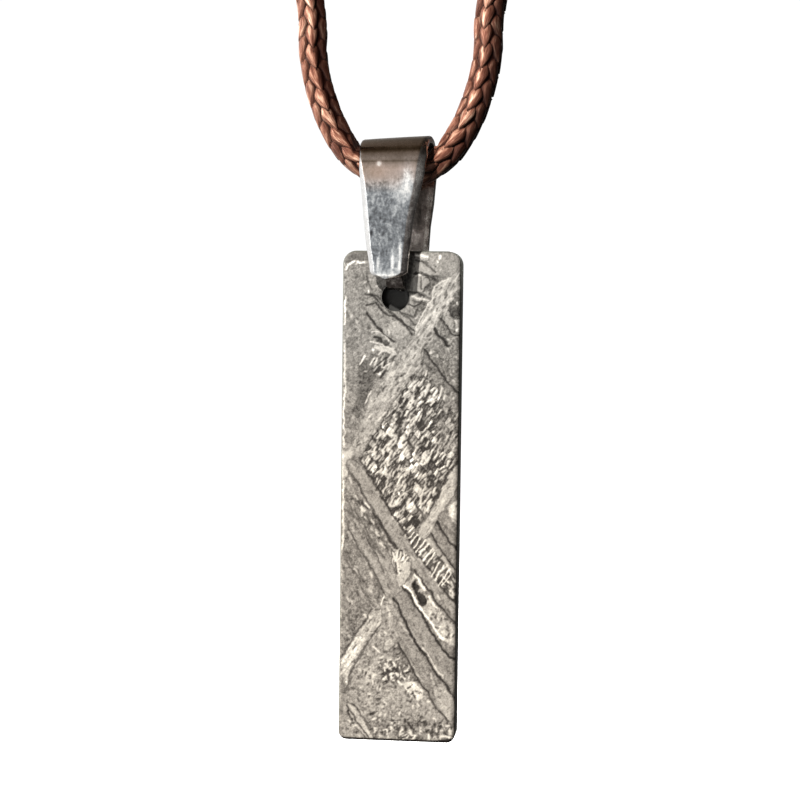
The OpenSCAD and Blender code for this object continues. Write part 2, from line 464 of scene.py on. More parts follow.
# distances of the strip's edges from its middle by height: left and right in front, right at the back
LEFT_AT = [(CREST_H, 2.98), (1.2, 2.5), (0.0, 2.48), (-2.4, 2.19), (-4.3, 1.98), (-6.1, 1.72),
           (-7.6, 1.42), (END_H, 1.31)]
FRONT_AT = [(CREST_H, 2.82), (1.9, 2.95), (1.2, 3.08), (0.0, 2.95), (-0.9, 2.8), (-2.4, 2.42), (-4.3, 2.08),
            (-6.1, 1.9), (-7.6, 1.78), (END_H, 1.72)]
BACK_AT = [(CREST_H, 2.82), (1.9, 2.6), (0.0, 2.5), (-2.4, 2.25), (-4.3, 1.95), (-6.1, 1.8), (-7.6, 1.62),
           (END_H, 1.5)]
END_ARC = 0.6
# the tongues stand a little to one side of the legs
TONGUE_X = 0.55
TONGUE_HALF, PEG_HALF = 0.76, 0.55
LEFT_BEVEL = [(CREST_H, 0.06), (1.0, 0.12), (0.2, 0.34), (-1.0, 0.46), (-4.0, 0.5), (END_H, 0.42)]
RIGHT_BEVEL = [(CREST_H, 0.12), (1.9, 0.4), (1.2, 0.55), (0.0, 0.58), (-2.4, 0.45), (-5.0, 0.42),
               (END_H, 0.4)]


def table(rows, z):
    """value at height z of a table that runs down from the crest"""
    return np.interp(-z, [-r[0] for r in rows], [r[1] for r in rows])


def strip_line():
    """middle line of one leg's half from the crest to its end, (y, z)"""
    mid_r = BEND_IN + STRIP_T / 2
    pts = [(-mid_r * math.sin(a), mid_r * math.cos(a)) for a in np.linspace(0, math.pi / 2, 60)]
    pts += [(-(mid_r + LEG_SPREAD * t), END_H * t) for t in np.linspace(0, 1, 96)[1:]]
    # close places at the end shape its arc
    k = 1 - (1 - np.linspace(0, 1, 19)[1:-1]) ** 2
    top = END_H + END_ARC
    keep = [p for p in pts if p[1] > top + 0.02]
    slope = LEG_SPREAD / -END_H
    ends = top - END_ARC * np.concatenate([[0], k, [0.995]])
    return np.array(keep + [(-(mid_r - slope * z), z) for z in ends])


FACE_STEPS = 30


def section(ar, al, b, right, left):
    """outline of the strip's cross section, (across, outward), with a bevel on each side"""
    inner = 0.07
    fall_r, fall_l = min(0.56 * right, b), min(0.56 * left, b)
    r, l = ar - right, al - left
    face = [(x, b + 0.02 * (1 - (x / max(r, l)) ** 2))
            for x in np.linspace(r - 0.03, -l + 0.03, FACE_STEPS)]
    return [
        (ar - inner, -b), (ar, -b + inner),
        (ar, b - fall_r - 0.03), (ar - 0.03, b - fall_r + 0.02), (r + 0.02, b - 0.01),
        *face,
        (-l - 0.02, b - 0.01), (-al + 0.03, b - fall_l + 0.02), (-al, b - fall_l - 0.03),
        (-al, -b + inner), (-al + inner, -b), (-0.5 * al, -b), (0, -b),
        *[(share * ar, -b) for share in (0.5, 0.74, 0.82, 0.9)],
    ]


def sweep(line, ring_of, kind):
    """rings along a line in the yz plane

    ring_of gives the cross section at each point, and each vertex is marked with its height, the kind
    and its place in the section"""
    run = np.gradient(line, axis=0)
    run /= np.linalg.norm(run, axis=1)[:, None]
    verts, faces, marks = [], [], []
    per = 0
    for i, ((y, z), (ty, tz)) in enumerate(zip(line, run)):
        ring = ring_of(i)
        per = len(ring)
        for q, (px, pn) in enumerate(ring):
            verts.append((px, y - tz * pn, z + ty * pn))
            marks.append((z, kind, q))
    n = len(line)
    for i in range(n - 1):
        for k in range(per):
            q = (k + 1) % per
            faces.append((i * per + k, i * per + q, (i + 1) * per + q, (i + 1) * per + k))
    faces.append(tuple(range(per))[::-1])
    faces.append(tuple((n - 1) * per + k for k in range(per)))
    return verts, faces, marks


def build_tongue():
    """tongue and peg of the front leg, bent inward"""
    mid_h = HOLE_H + PEG_R - PEG_T / 2
    pts = np.array([
        (-(TIP_Y + 0.2), END_H + 0.62), (-(TIP_Y - 0.02), END_H + 0.34), (-(TIP_Y - 0.3), END_H - 0.02),
        (-(FACE_Y + 0.3), mid_h + 0.16), (-(FACE_Y + 0.02), mid_h), (-(FACE_Y - 0.3), mid_h),
        (-(PEG_END_Y + 0.5), mid_h), (-(PEG_END_Y + 0.06), mid_h), (-PEG_END_Y, mid_h)])
    t = np.linspace(0, len(pts) - 1, 40)
    tongue = np.stack([np.interp(t, np.arange(len(pts)), pts[:, k]) for k in (0, 1)], axis=1)

    def tongue_ring(i):
        y = tongue[i][0]
        on_peg = min(1.0, max(0.0, (y + FACE_Y + 0.02) / 0.1))
        a = TONGUE_HALF + (PEG_HALF - TONGUE_HALF) * on_peg
        b, c = PEG_T / 2, 0.07
        if i == len(tongue) - 1:
            a, b = a * 0.85, b * 0.7
        return [(a, b - c), (a - c, b), (a * 0.5, b), (0, b), (-a * 0.5, b), (-a + c, b), (-a, b - c),
                (-a, -b + c), (-a + c, -b), (0, -b), (a - c, -b), (a, -b + c)][::-1]

    tv, tf, tm = sweep(tongue, tongue_ring, 1.0)
    tv = [[x + TONGUE_X, y, z] for x, y, z in tv]
    # on the peg nothing is farther from the hole's centre than its radius
    for p in tv:
        if p[1] > -FACE_Y:
            d = math.hypot(p[0], p[2] - HOLE_H)
            if d > PEG_R:
                p[0] *= PEG_R / d
                p[2] = HOLE_H + (p[2] - HOLE_H) * PEG_R / d
    return tv, tf, tm


def build_bail():
    half = strip_line()
    line = np.vstack([half[::-1], half[1:] * (-1, 1)])

    def ring_of(i):
        y, z = line[i]
        k = min(1.0, max(0.0, (END_H + END_ARC - z) / END_ARC))
        share = math.sqrt(max(0.01, 1 - k ** 1.6))
        al = table(LEFT_AT, z) * share
        ar = table(FRONT_AT if y < 0 else BACK_AT, z) * share
        right = min(table(RIGHT_BEVEL, z), 0.6 * ar)
        left = min(table(LEFT_BEVEL, z), 0.6 * al)
        # the rounded end is bevelled too, by a thinner rim
        return section(ar, al, STRIP_T / 2 - 0.1 * max(0.0, k - 0.6) / 0.4, right, left)

    verts, faces, marks = sweep(line, ring_of, 0.0)
    tv, tf, tm = build_tongue()
    for turn in (1, -1):
        base = len(verts)
        verts += [(turn * x, turn * y, z) for x, y, z in tv]
        faces += [tuple(base + k for k in f) for f in tf]
        marks += tm
    verts = np.array(verts)
    marks = np.array(marks)
    tone, tint, wear = bail_chart(verts, marks)
    # the crest stands a little higher at its right end
    verts[:, 2] += 0.04 * verts[:, 0] * np.clip((verts[:, 2] - 1.0) / 1.6, 0, 1)
    c, s = math.cos(BAIL_YAW), math.sin(BAIL_YAW)
    x, y = verts[:, 0] * c - verts[:, 1] * s, verts[:, 0] * s + verts[:, 1] * c
    verts = np.stack([x, y, verts[:, 2] + BEND_Z], axis=1)
    obj = mesh_object("bail_strip", verts, faces, {"tone": tone, "tint": tint, "wear": wear})
    obj.data.set_sharp_from_angle(angle=math.radians(24))
    return obj


def spot(x, z, cx, cz, rx, rz):
    """1 at the spot's middle, fading outward"""
    return np.exp(-(((x - cx) / rx) ** 2 + ((z - cz) / rz) ** 2))


# painted highlights and darker painted reflections on the front leg, a small painted glint among them: place,
# half sizes and how much lighter
PAINTED_LIGHT_SPOTS = [
    (1.7, -0.9, 0.45, 1.2, 0.32), (1.3, -2.2, 0.7, 0.9, 0.16), (-0.6, -7.35, 0.13, 0.75, 0.35),
    (0.6, -7.25, 0.15, 0.7, 0.6), (1.22, -6.3, 0.12, 0.8, 0.6), (1.22, -7.7, 0.12, 0.5, 0.5),
    (0.0, -8.35, 1.2, 0.18, 0.35), (-0.7, -6.7, 0.3, 0.6, -0.12), (-0.76, 0.52, 0.15, 0.15, 0.9),
    (-2.0, 0.0, 0.9, 0.7, -0.08), (-1.6, -4.4, 0.5, 1.6, -0.1), (0.9, -3.9, 0.7, 0.25, -0.12),
    (0.3, -3.2, 0.5, 0.3, 0.1), (0.2, -5.2, 0.6, 0.4, -0.08)]


def bail_chart(verts, marks):
    """tone, brown tint and wear from 0 to 1, charted on the front leg and the bend; the tone holds painted
    reflections, highlights and shade
    """
    x, front = verts[:, 0], verts[:, 1] < 0
    z, kind, q = marks[:, 0], marks[:, 1] > 0.5, marks[:, 2]
    # painted reflection: light and dark bands of tone by height
    tone = np.interp(
        z, [END_H, -7.0, -5.5, -3.5, -1.6, -0.8, 0.0, 0.45, 0.62, 0.7, 0.78, 0.95, 1.3, 1.48, 1.56, 1.7,
            1.85, 2.1, 2.3, 2.6, 2.85],
        [0.62, 0.55, 0.5, 0.5, 0.56, 0.64, 0.64, 0.61, 0.56, 0.44, 0.58, 0.64, 0.62, 0.46, 0.36, 0.5, 0.62,
         0.6, 0.5, 0.42, 0.5])
    tint = np.interp(z, [-1.8, -0.6, 0.2, 1.0, 1.5, 2.8], [0.0, 0.75, 0.9, 0.8, 1.0, 1.0])
    painted_light = sum(level * spot(x, z, *place) for *place, level in PAINTED_LIGHT_SPOTS)
    tone += np.where(front, painted_light, 0)
    brown = 0.2 * spot(x, z, -0.9, -0.2, 0.9, 0.5) - 0.6 * spot(x, z, 1.7, -0.9, 0.5, 1.2)
    tint += np.where(front, brown, 0)
    # sections are numbered from the inner right corner over the outer face to the inner left corner
    last = 5 + FACE_STEPS
    # painted highlight: the left bevel is bright, its outer edge darker
    left = (q >= last) & (q <= last + 3)
    tone = np.where(left & (z < 1.0), np.where(q >= last + 2, 0.3, 0.66), tone)
    tint = np.where(left, 0.15, tint)
    # painted light and shade on the right bevel and side, set by height
    side = np.where(front, np.interp(z, [END_H, -4.0, 0.0, 2.0], [0.72, 0.8, 0.86, 0.75]), 1.2)
    tone = np.where((q >= 1) & (q <= 4), side, tone)
    tint = np.where((q >= 1) & (q <= 4), 0.5, tint)
    # painted shade and reflection on the inside of the strip: black towards the bend, lighter below, with a
    # painted light line by the right edge
    inner = np.interp(z, [END_H, -7.0, -6.4, -4.9, -4.4, -3.0, 0.0, 2.8],
                      [0.5, 0.6, 0.78, 0.78, 0.5, 0.55, 0.6, 0.25])
    inside = (q == 0) | (q > last + 3)
    tone = np.where(inside, inner, tone)
    line = np.interp(q, [last + 7, last + 8, last + 9, last + 10], [0.0, 0.75, 1.1, 0.9])
    tone = np.where((q >= last + 8) & (z < -1.0), line, tone)
    tone = np.where((q == 0) & (z < -1.0), 0.8, tone)
    tint = np.where(inside, 0.45, tint)
    wear = np.where(left, 0.15, np.interp(tint, [0.5, 0.8], [1.0, 0.22]))
    # painted shade: the tongues get a dark tone
    return np.clip(np.where(kind, 0.30, tone), 0, 1.2), np.clip(np.where(kind, 0.4, tint), 0, 1), wear


def bail_material():
    m = Material("polished_steel", rough=0.2, metal=1.0)
    tone, tint, wear = (m.attribute(name) for name in ("tone", "tint", "wear"))
    blotch = m.noise(m.coords(), 3400.0, 4.0, 0.65)
    fine = m.noise(m.coords((1, 1, 0.25), (0.2, 0.35, 0.0)), 9000.0, 3.0)
    cloud = m.noise(m.coords(), 900.0, 2.0)
    scratch = m.noise(m.coords((1, 1, 0.3), (0.0, 0.9, 0.0)), 6000.0, 3.0)
    mixed = m.plus(m.span(blotch, 0.3, 0.7, -0.18, 0.18), m.span(cloud, 0.3, 0.7, -0.1, 0.1))
    mixed = m.plus(mixed, m.span(scratch, 0.3, 0.7, -0.07, 0.07))
    # the bend is smooth, the leg is worn
    mixed = m.plus(tone, m.times(mixed, wear))
    cool = m.ramp(mixed, [(0.0, (0.006, 0.006, 0.006)), (0.25, (0.05, 0.052, 0.055)),
                          (0.5, (0.20, 0.215, 0.23)), (0.75, (0.5, 0.52, 0.53)), (1.0, (0.92, 0.92, 0.9))])
    warm = m.ramp(mixed, [(0.0, (0.006, 0.004, 0.003)), (0.3, (0.06, 0.035, 0.02)),
                          (0.5, (0.2, 0.145, 0.1)), (0.75, (0.56, 0.44, 0.385)), (1.0, (0.92, 0.86, 0.8))])
    m.to("Base Color", m.mix(tint, cool, warm))
    worn = m.span(fine, 0.3, 0.7, -0.02, 0.05)
    m.to("Roughness", m.plus(m.span(cloud, 0.35, 0.65, 0.14, 0.26), worn))
    m.to("Normal", m.bump(m.plus(m.times(fine, 0.5), blotch), 0.3, 0.00002))
    return m.mat


bail = build_bail()
bail.data.materials.append(bail_material())
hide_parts("bail")
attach(bail, "bail")


# the bar: a fine grid on each face, rounded over the edges, with a blind hole cut into each face
EDGE_R = 0.32
TOP_R, LOW_R = 1.1, 0.7
# the hole's place from the face's left edge and top, and how deep its rounded lip is
HOLE_U, HOLE_V = BAR_W / 2 - BAR_X, BAR_TOP - HOLE_Z
LIP = 0.08
# steps across and down the front face, and the closer ones within a short distance of its edges
FACE_COLS, FACE_ROWS = 128, 520
CLOSE_EDGE, CLOSE_STEPS = 0.36, 6
# heights of the walls' lines over the bar's thickness, as many points as the front's outline and half as many
FINE_LINES, MEETING_LINE, COARSE_LINES = (-1.05, -0.85), -0.25, (0.3, 0.8)


def half_width(v):
    """half width of the face at the distance v from the top"""
    w = BAR_W / 2
    out = np.full_like(v, w)
    t = v < TOP_R
    out[t] = w - TOP_R + np.sqrt(np.maximum(0, TOP_R ** 2 - (TOP_R - v[t]) ** 2))
    b = v > BAR_L - LOW_R
    out[b] = w - LOW_R + np.sqrt(np.maximum(0, LOW_R ** 2 - (v[b] - BAR_L + LOW_R) ** 2))
    return out


def edge_distance(u, v):
    """distance from the rounded outline, inside positive; u from the left edge, v from the top"""
    x = np.abs(u - BAR_W / 2)
    out = np.minimum(BAR_W / 2 - x, np.minimum(v, BAR_L - v))
    for r, vv in ((TOP_R, v), (LOW_R, BAR_L - v)):
        corner = (x > BAR_W / 2 - r) & (vv < r)
        d = r - np.hypot(x - (BAR_W / 2 - r), vv - r)
        out = np.where(corner, d, out)
    return out


def spaced(length, n, edge, k):
    """n + 1 places from 0 to length, with k extra close ones at each end"""
    ends = edge * (1 - np.cos(np.linspace(0, math.pi / 2, k + 1)[:-1]))
    return np.concatenate([ends, np.linspace(edge, length - edge, n + 1 - 2 * k), length - ends[::-1]])


# the etched pattern, charted in mm from the face's left edge and from its top:
# tone, grain, sparkle, lean of the streaks, dark rim and outline of each plate
ROUGH_FIELD = [(3.55, 13.25), (4.2, 12.3), (4.75, 11.45), (5.45, 10.15), (6.6, 10), (7.25, 10.35),
     (8.2, 11.4), (8.5, 12.4), (9.7, 12.75), (9.8, 14.8), (9.55, 16.65), (8.9, 17.75), (8.3, 18.9),
     (7.85, 19.85), (7.1, 21.25), (6.35, 22.7), (5.7, 22.9), (5.25, 22.8), (4.7, 22), (4.1, 21.15),
     (3.35, 19.95), (2.75, 18.85), (2.1, 17.85), (1.7, 17.2), (1.55, 16.65), (2.25, 15.55), (2.6, 14.8),
     (3.2, 14.05)]
ROUGH_RIGHT = [(7.75, 12.8), (9.7, 12.75), (9.8, 15.5), (9.45, 16.45), (8.55, 16.3), (7.95, 15.75),
     (8.15, 14.35)]
PLATES = [
    # left smooth
    (0.48, 0.5, 0.12, 0, 0, [(-0.25, -0.3), (2.15, -0.3), (2.2, 2.2), (2.5, 3.6), (1.95, 4.35),
     (2.15, 5.65), (2.7, 7.1), (2.45, 8.05), (4.15, 9.4), (3.6, 10.25), (2.75, 11.4), (2.3, 12.3),
     (1.9, 13.7), (0.95, 15.55), (0.75, 16.25), (-0.1, 16.4)]),
    # left dark
    (0.34, 0.5, 0.1, 0, 0, [(1.45, 8.9), (2.95, 8.7), (3.2, 9.6), (2.6, 10.75), (2.2, 12.3), (1.4, 13.7),
     (0.8, 13.1), (1.35, 11.95)]),
    # left low dark
    (0.38, 0.5, 0.1, 0, 0, [(0.4, 17.6), (1.15, 18.3), (1.95, 19.6), (1.45, 20.85), (0.8, 20.1),
     (0.45, 18.9)]),
    # top band
    (0.4, 0.3, 0.1, 0, 0, [(0.15, 1.1), (0.5, 0.2), (1.25, -0.1), (2.15, -0.1), (2.2, 0.8), (1.25, 0.8),
     (0.6, 0.9)]),
    # right field
    (0.44, 0.6, 0.2, 0, 0, [(9.9, 2.5), (10.05, 12.9), (8.5, 12.4), (8.2, 11.4), (7.25, 10.35), (6.6, 10),
     (5.45, 10.15), (6.4, 9.45), (6.65, 8.35), (7.4, 6.75), (7.75, 5.75), (8.4, 5), (9.2, 3.3)]),
    # fine lean
    (0.42, 0.6, 0.6, 1, 0, [(5.45, 10.15), (6.4, 9.3), (7.25, 9.55), (6.6, 10.55), (5.1, 12.1),
     (4.4, 12.85), (4.2, 12.4)]),
    # rough field
    (0.38, 0.6, 0.62, 1, 0, ROUGH_FIELD),
    # rough right
    (0.47, 0.7, 0.4, 1, 0, ROUGH_RIGHT),
    # rough dark a
    (0.36, 0.6, 0.3, 1, 0, [(6.05, 13.55), (7, 13.25), (7.75, 13.9), (7.95, 15), (7.05, 15.65), (6, 15.7),
     (5.55, 14.85)]),
    # rough dark b
    (0.38, 0.5, 0.15, 1, 0, [(5.25, 21.4), (6.15, 21.4), (6.55, 22.3), (6.1, 22.95), (5.45, 22.8),
     (5.05, 22.15)]),
    # rough dark c
    (0.35, 0.6, 0.35, 1, 0, [(7.5, 16.4), (9.3, 16.45), (8.75, 17.6), (8, 18.7), (7.45, 18.65),
     (7.05, 17.55)]),
    # rough light a
    (0.6, 0.6, 0.6, 1, 0, [(3.2, 13.9), (3.95, 13.95), (4.2, 14.9), (3.55, 15.35), (3.15, 14.9)]),
    # rough light b
    (0.56, 0.6, 0.6, 1, 0, [(4.2, 14.8), (5.15, 15.05), (6.3, 16.5), (7.05, 18.1), (6.5, 18.5),
     (5.2, 17.3), (4.25, 16.3)]),
    # rough light c
    (0.5, 0.6, 0.9, 1, 0, [(5.5, 12.25), (6.6, 11.7), (7.25, 12.05), (6.9, 12.9), (6, 13.65), (5.6, 13.1)]),
    # rough light d
    (0.66, 0.4, 0.4, 1, 0.1, [(2.25, 18), (3.05, 17.35), (3.15, 17.9), (2.65, 18.4)]),
    # rough light e
    (0.6, 0.5, 0.8, 1, 0.1, [(3.7, 20.3), (4.65, 19.35), (4.85, 19.65), (4.1, 20.85)]),
    # rough grey f
    (0.5, 0.6, 0.4, 1, 0, [(5.6, 20.75), (6.7, 20.6), (7.1, 21.35), (6.35, 21.75), (5.8, 21.4)]),
    # band a low
    (0.58, 0.6, 0.25, 1, 0, [(6.1, 7.05), (5.45, 7.45), (4.8, 8.2), (4.15, 9.2), (3.6, 10.25),
     (2.75, 11.4), (2.3, 12.3), (1.9, 13.7), (0.95, 15.55), (0.75, 16.25), (1.25, 16.95), (1.55, 16.65),
     (2.25, 15.55), (2.6, 14.8), (3.2, 14.05), (3.55, 13.25), (4.2, 12.3), (4.75, 11.45), (5.45, 10.15),
     (6.4, 9.45), (6.65, 8.35), (6.95, 7.6), (7.4, 6.75)]),
    # band a top
    (0.63, 0.6, 0.3, 2, 0, [(9.85, 0.85), (8.8, 2.15), (8, 2.5), (7.45, 3.15), (7.25, 3.9), (6.7, 5),
     (6.05, 5.75), (5.9, 6.5), (6.1, 7.05), (6.55, 7.4), (6.95, 7.6), (7.4, 6.75), (7.75, 5.75), (8.4, 5),
     (8.75, 4.05), (9.2, 3.3), (9.9, 2.5)]),
    # ladder
    (0.56, 0.5, 0.2, 0, 0, [(6.2, 0.15), (7.5, -0.05), (7.75, 0.75), (7.95, 1.75), (7.5, 2.25),
     (7.15, 3.55), (6.9, 4.25), (6.35, 5), (5.95, 5), (5.4, 4.3), (5.6, 3.45), (5.95, 2.8), (5.95, 1.8),
     (6.1, 0.95)]),
    # ladder dark a
    (0.36, 0.5, 0.2, 0, 0, [(6.85, 1.85), (8.05, 2.15), (7.8, 2.6), (7.25, 3.25), (6.7, 3.25),
     (6.75, 2.25)]),
    # ladder dark b
    (0.42, 0.4, 0.1, 0, 0.12, [(5.85, 4), (6.8, 4.15), (6.6, 4.65), (5.95, 4.55)]),
    # ladder light
    (0.7, 0.4, 0.1, 0, 0, [(6.2, 0.2), (7, 0.35), (6.95, 0.75), (6.2, 0.5)]),
    # top corner
    (0.53, 0.25, 0.05, 0, 0, [(7.75, 0.3), (9.25, 0.1), (9.7, 0.85), (8.8, 2.15), (8.05, 1.95),
     (7.75, 0.95)]),
    # dark plate
    (0.26, 0.4, 0.05, 0, 0, [(8.9, 3.8), (9.5, 4.35), (9.7, 5.15), (9.2, 5.45), (8.6, 4.8), (8.75, 4.25)]),
    # round plate a
    (0.56, 0.4, 0.1, 0, 0.15, [(8.1, 5.1), (8.65, 4.9), (9.05, 5.55), (9.15, 6.35), (8.7, 6.35),
     (8.2, 5.75)]),
    # round plate b
    (0.6, 0.4, 0.1, 0, 0.15, [(9.15, 5.55), (9.7, 5.35), (9.75, 6.45), (9.25, 6.45)]),
    # under hole
    (0.52, 0.45, 0.12, 0, 0, [(2.3, 3.5), (3.35, 4.15), (4.65, 4.85), (5.95, 5), (5.9, 6.3), (5.45, 7.25),
     (4.7, 8), (4.3, 7.9), (3.75, 7.45), (2.65, 7), (2.15, 5.65), (1.95, 4.35)]),
    # under hole light
    (0.6, 0.35, 0.1, 0, 0.1, [(3.65, 5.8), (4.5, 5.6), (5.45, 6.4), (5.45, 6.8), (4.7, 7.25), (4.1, 6.9)]),
    # dark diamond
    (0.22, 0.3, 0, 0, 0, [(2.75, 7.2), (3.2, 7.05), (3.9, 7.45), (3.65, 7.75), (2.9, 7.55)]),
    # light bar
    (0.72, 0.3, 0.1, 0, 0.1, [(2.65, 7.6), (3.2, 7.7), (4.15, 7.95), (4.55, 8.3), (4.35, 8.45),
     (3.2, 8.15), (2.55, 7.9)]),
    # spark cluster
    (0.4, 0.6, 1, 1, 0, [(2.35, 8.3), (3.65, 8.15), (4.25, 8.55), (3.85, 9.3), (3.15, 9.9), (2.3, 9.25)]),
    # light patch left
    (0.7, 0.3, 0.2, 0, 0, [(-0.1, 16.3), (0.95, 16.1), (0.95, 16.75), (0.6, 17.4), (0.5, 18.5),
     (-0.05, 18.7)]),
    # low left field
    (0.47, 0.6, 0.2, -1, 0, [(-0.05, 18.7), (0.8, 18.15), (2.3, 20.55), (3.55, 22.4), (4.7, 24.05),
     (6.15, 25.85), (5.3, 27.3), (4.55, 28.25), (3.7, 28), (2.8, 29.15), (1.6, 31.25), (0.1, 33.4)]),
    # rough lamella
    (0.38, 0.6, 0.6, -1, 0, [(1.15, 19.55), (2.2, 20.55), (3.2, 21.9), (4.15, 23.3), (4.5, 24.25),
     (4.05, 24.6), (3.4, 23.7), (2.7, 22.95), (2.05, 21.85), (1.3, 20.55)]),
    # lamella light a
    (0.52, 0.4, 0.1, -1, 0, [(0.65, 22.45), (1.1, 22.25), (2.45, 24.3), (3.6, 26.15), (3.7, 27.55),
     (3.15, 26.9), (2, 24.85)]),
    # lamella light b
    (0.54, 0.4, 0.1, -1, 0, [(2.75, 24.85), (3.85, 25.2), (4.75, 26.1), (5.3, 27.3), (4.55, 28.15),
     (3.8, 27.8), (3.25, 26.7)]),
    # left mottled
    (0.46, 0.7, 0.3, 0, 0, [(0.25, 29.05), (2.05, 29), (2.15, 29.95), (1.3, 31.3), (0.25, 32.45)]),
    # comb
    (0.3, 0.4, 0.5, 1, 0, [(5.45, 22.9), (6.4, 22.85), (6.85, 23.4), (7.4, 23.6), (8, 24.3), (8.35, 24.95),
     (9.05, 25.7), (9.5, 26.5), (9.7, 28.2), (8.95, 27.65), (8, 26.55), (7.45, 25.95), (6.8, 25.1),
     (6.2, 24.25)]),
    # comb end
    (0.34, 0.7, 1, -1, 0, [(8.1, 26.85), (9.1, 25.9), (9.6, 26.9), (9.7, 28.4), (8.85, 27.75)]),
    # right lamellae
    (0.47, 0.45, 0.12, -1, 0, [(7.4, 22.85), (8.05, 21.5), (8.8, 20.65), (9.7, 21.5), (9.8, 26.4),
     (9.05, 25.8), (8.1, 24.7), (7.05, 23.5)]),
    # light strip
    (0.62, 0.3, 0.1, -1, 0, [(7.05, 23.4), (7.4, 23.2), (8.1, 24.15), (8.85, 25.05), (9.4, 25.95),
     (9.05, 25.9), (8.1, 24.7)]),
    # white right
    (0.8, 0.4, 0.5, 0, 0, [(8.8, 20.65), (9.35, 20.2), (9.7, 19.8), (9.7, 21.95), (8.95, 21.3)]),
    # band b
    (0.64, 0.4, 0.12, 1, 0.12, [(9.65, 16.9), (8.95, 17.95), (8.55, 18.7), (8, 19.85), (7.75, 20.6),
     (7.1, 21.55), (6.55, 22.3), (6.35, 22.95), (6.6, 23.4), (7.05, 23.25), (7.5, 22.55), (8.05, 21.5),
     (8.6, 20.65), (9.05, 20), (9.7, 18.8)]),
    # band c
    (0.52, 0.4, 0.1, -1, 0.15, [(0.75, 16.85), (1.45, 17.25), (2.1, 17.9), (2.75, 18.85), (3.35, 19.95),
     (4.1, 21.15), (4.7, 22), (5.25, 22.9), (6.2, 24.35), (6.8, 25.2), (7.45, 26), (8, 26.75),
     (8.85, 27.85), (9.8, 28.95), (9.85, 30.65), (8.9, 29.55), (8.15, 28.6), (7.45, 27.7), (6.6, 26.6),
     (6.15, 25.85), (5.45, 25.05), (4.7, 24.2), (4.15, 23.3), (3.55, 22.4), (2.9, 21.45), (2.3, 20.55),
     (1.65, 19.25), (0.95, 18.3), (0.5, 17.4)]),
    # leaf rough
    (0.56, 0.8, 0.9, 0, 0, [(4.15, 24.15), (4.7, 23.85), (5.65, 24.55), (5.9, 25.15), (5.3, 25.4),
     (4.9, 26.1), (4.55, 26.3), (4.15, 25.15)]),
    # leaf
    (0.66, 0.3, 0.1, 0, 0.2, [(5.2, 25.05), (5.85, 25.15), (5.9, 26.05), (5.4, 27), (5, 27.35),
     (4.65, 26.65), (4.75, 25.8)]),
    # inclusion
    (0.6, 0.5, 0.3, 0, 0, [(5.3, 27.1), (6.15, 26.05), (6.6, 26.8), (7.85, 28.8), (9.85, 30.65),
     (9.85, 32.15), (8.65, 31.5), (7.7, 30.25), (6.25, 28.3)]),
    # inclusion mottled
    (0.63, 0.6, 0.5, 0, 0, [(6.65, 29.05), (7.2, 28.85), (7.85, 28.9), (8.4, 29.35), (9.65, 30.65),
     (9.65, 31.95), (8.9, 31.7), (8.15, 31.05), (7.4, 30.05)]),
    # inclusion pit
    (0.15, 0.5, 0.02, 0, 0, [(5.99, 26.89), (6.16, 26.59), (6.29, 26.89), (6.61, 27.22), (6.48, 27.61),
     (6.98, 27.87), (7.17, 28.2), (7.2, 28.6), (6.75, 28.89), (6.55, 28.46), (6.35, 28), (6.19, 27.61),
     (5.93, 27.22)]),
    # lamella d
    (0.49, 0.35, 0.08, -1, 0.12, [(4.55, 28.15), (5.3, 27.4), (6.25, 28.7), (7.5, 30.7), (8.55, 32.15),
     (9.9, 33.25), (9.9, 36.25), (8.2, 34.35), (7.15, 32.7), (5.8, 30.95), (4.95, 29)]),
    # lamella e
    (0.49, 0.5, 0.15, -1, 0.05, [(4.55, 28.35), (4.95, 29.2), (5.8, 31.05), (7.15, 32.8), (8.2, 34.45),
     (9.45, 36.2), (9.9, 36.65), (9.95, 39.1), (9, 38.1), (7.55, 36.05), (6.35, 34.4), (5.2, 32.55),
     (4.4, 30.8), (4.3, 28.95)]),
    # corner light
    (0.6, 0.4, 0.15, 0, 0.1, [(7.85, 35.4), (8.5, 35.1), (9.45, 35.9), (9.75, 37.7), (9.3, 38.15),
     (8.7, 37.7), (8.05, 37.1)]),
    # triangle
    (0.54, 0.6, 0.35, 0, 0, [(3.7, 28), (4.4, 28.35), (4.4, 30.8), (5.2, 32.55), (6.35, 34.4),
     (7.55, 36.05), (9, 38.2), (9.75, 39.1), (9.8, 40.2), (0.15, 40.4), (0.3, 37.55), (0.8, 36.4),
     (1.25, 33.95), (2.55, 31.8), (3.45, 30.65)]),
    # triangle dark
    (0.4, 0.7, 0.5, 0, 0, [(4.6, 31.75), (5, 32.1), (5.35, 32.65), (6.25, 34.15), (6.5, 35.05),
     (5.75, 34.6), (5, 34), (4.45, 33.05)]),
    # speck a
    (0.66, 0.6, 0.7, 0, 0, [(2, 34.1), (2.95, 33.85), (3.15, 34.9), (2.4, 35.3)]),
    # speck b
    (0.36, 0.6, 1, 0, 0, [(3.3, 33.65), (4.05, 33.15), (5.55, 33.95), (5.2, 35.2), (3.7, 35.25)]),
    # blob
    (0.62, 0.4, 0.1, 0, 0.1, [(3.85, 31.55), (4.4, 31.55), (4.65, 32), (4.15, 32.6), (3.75, 32.35)]),
    # white patch
    (0.8, 0.5, 0.9, 0, 0, [(5.3, 35.2), (6.25, 35), (6.75, 35.55), (7, 36.3), (6.55, 36.5), (5.8, 35.95)]),
    # bottom rough
    (0.46, 0.6, 0.8, 0, 0, [(2.9, 37.95), (5.45, 38.2), (9.2, 38), (9.6, 40.25), (2.9, 40.5)]),
    # beige band
    (0.62, 0.8, 0.15, 1, 0.12, [(2.76, 29.05), (3.15, 29.25), (3.5, 29.1), (3.47, 29.8), (3.43, 30.35),
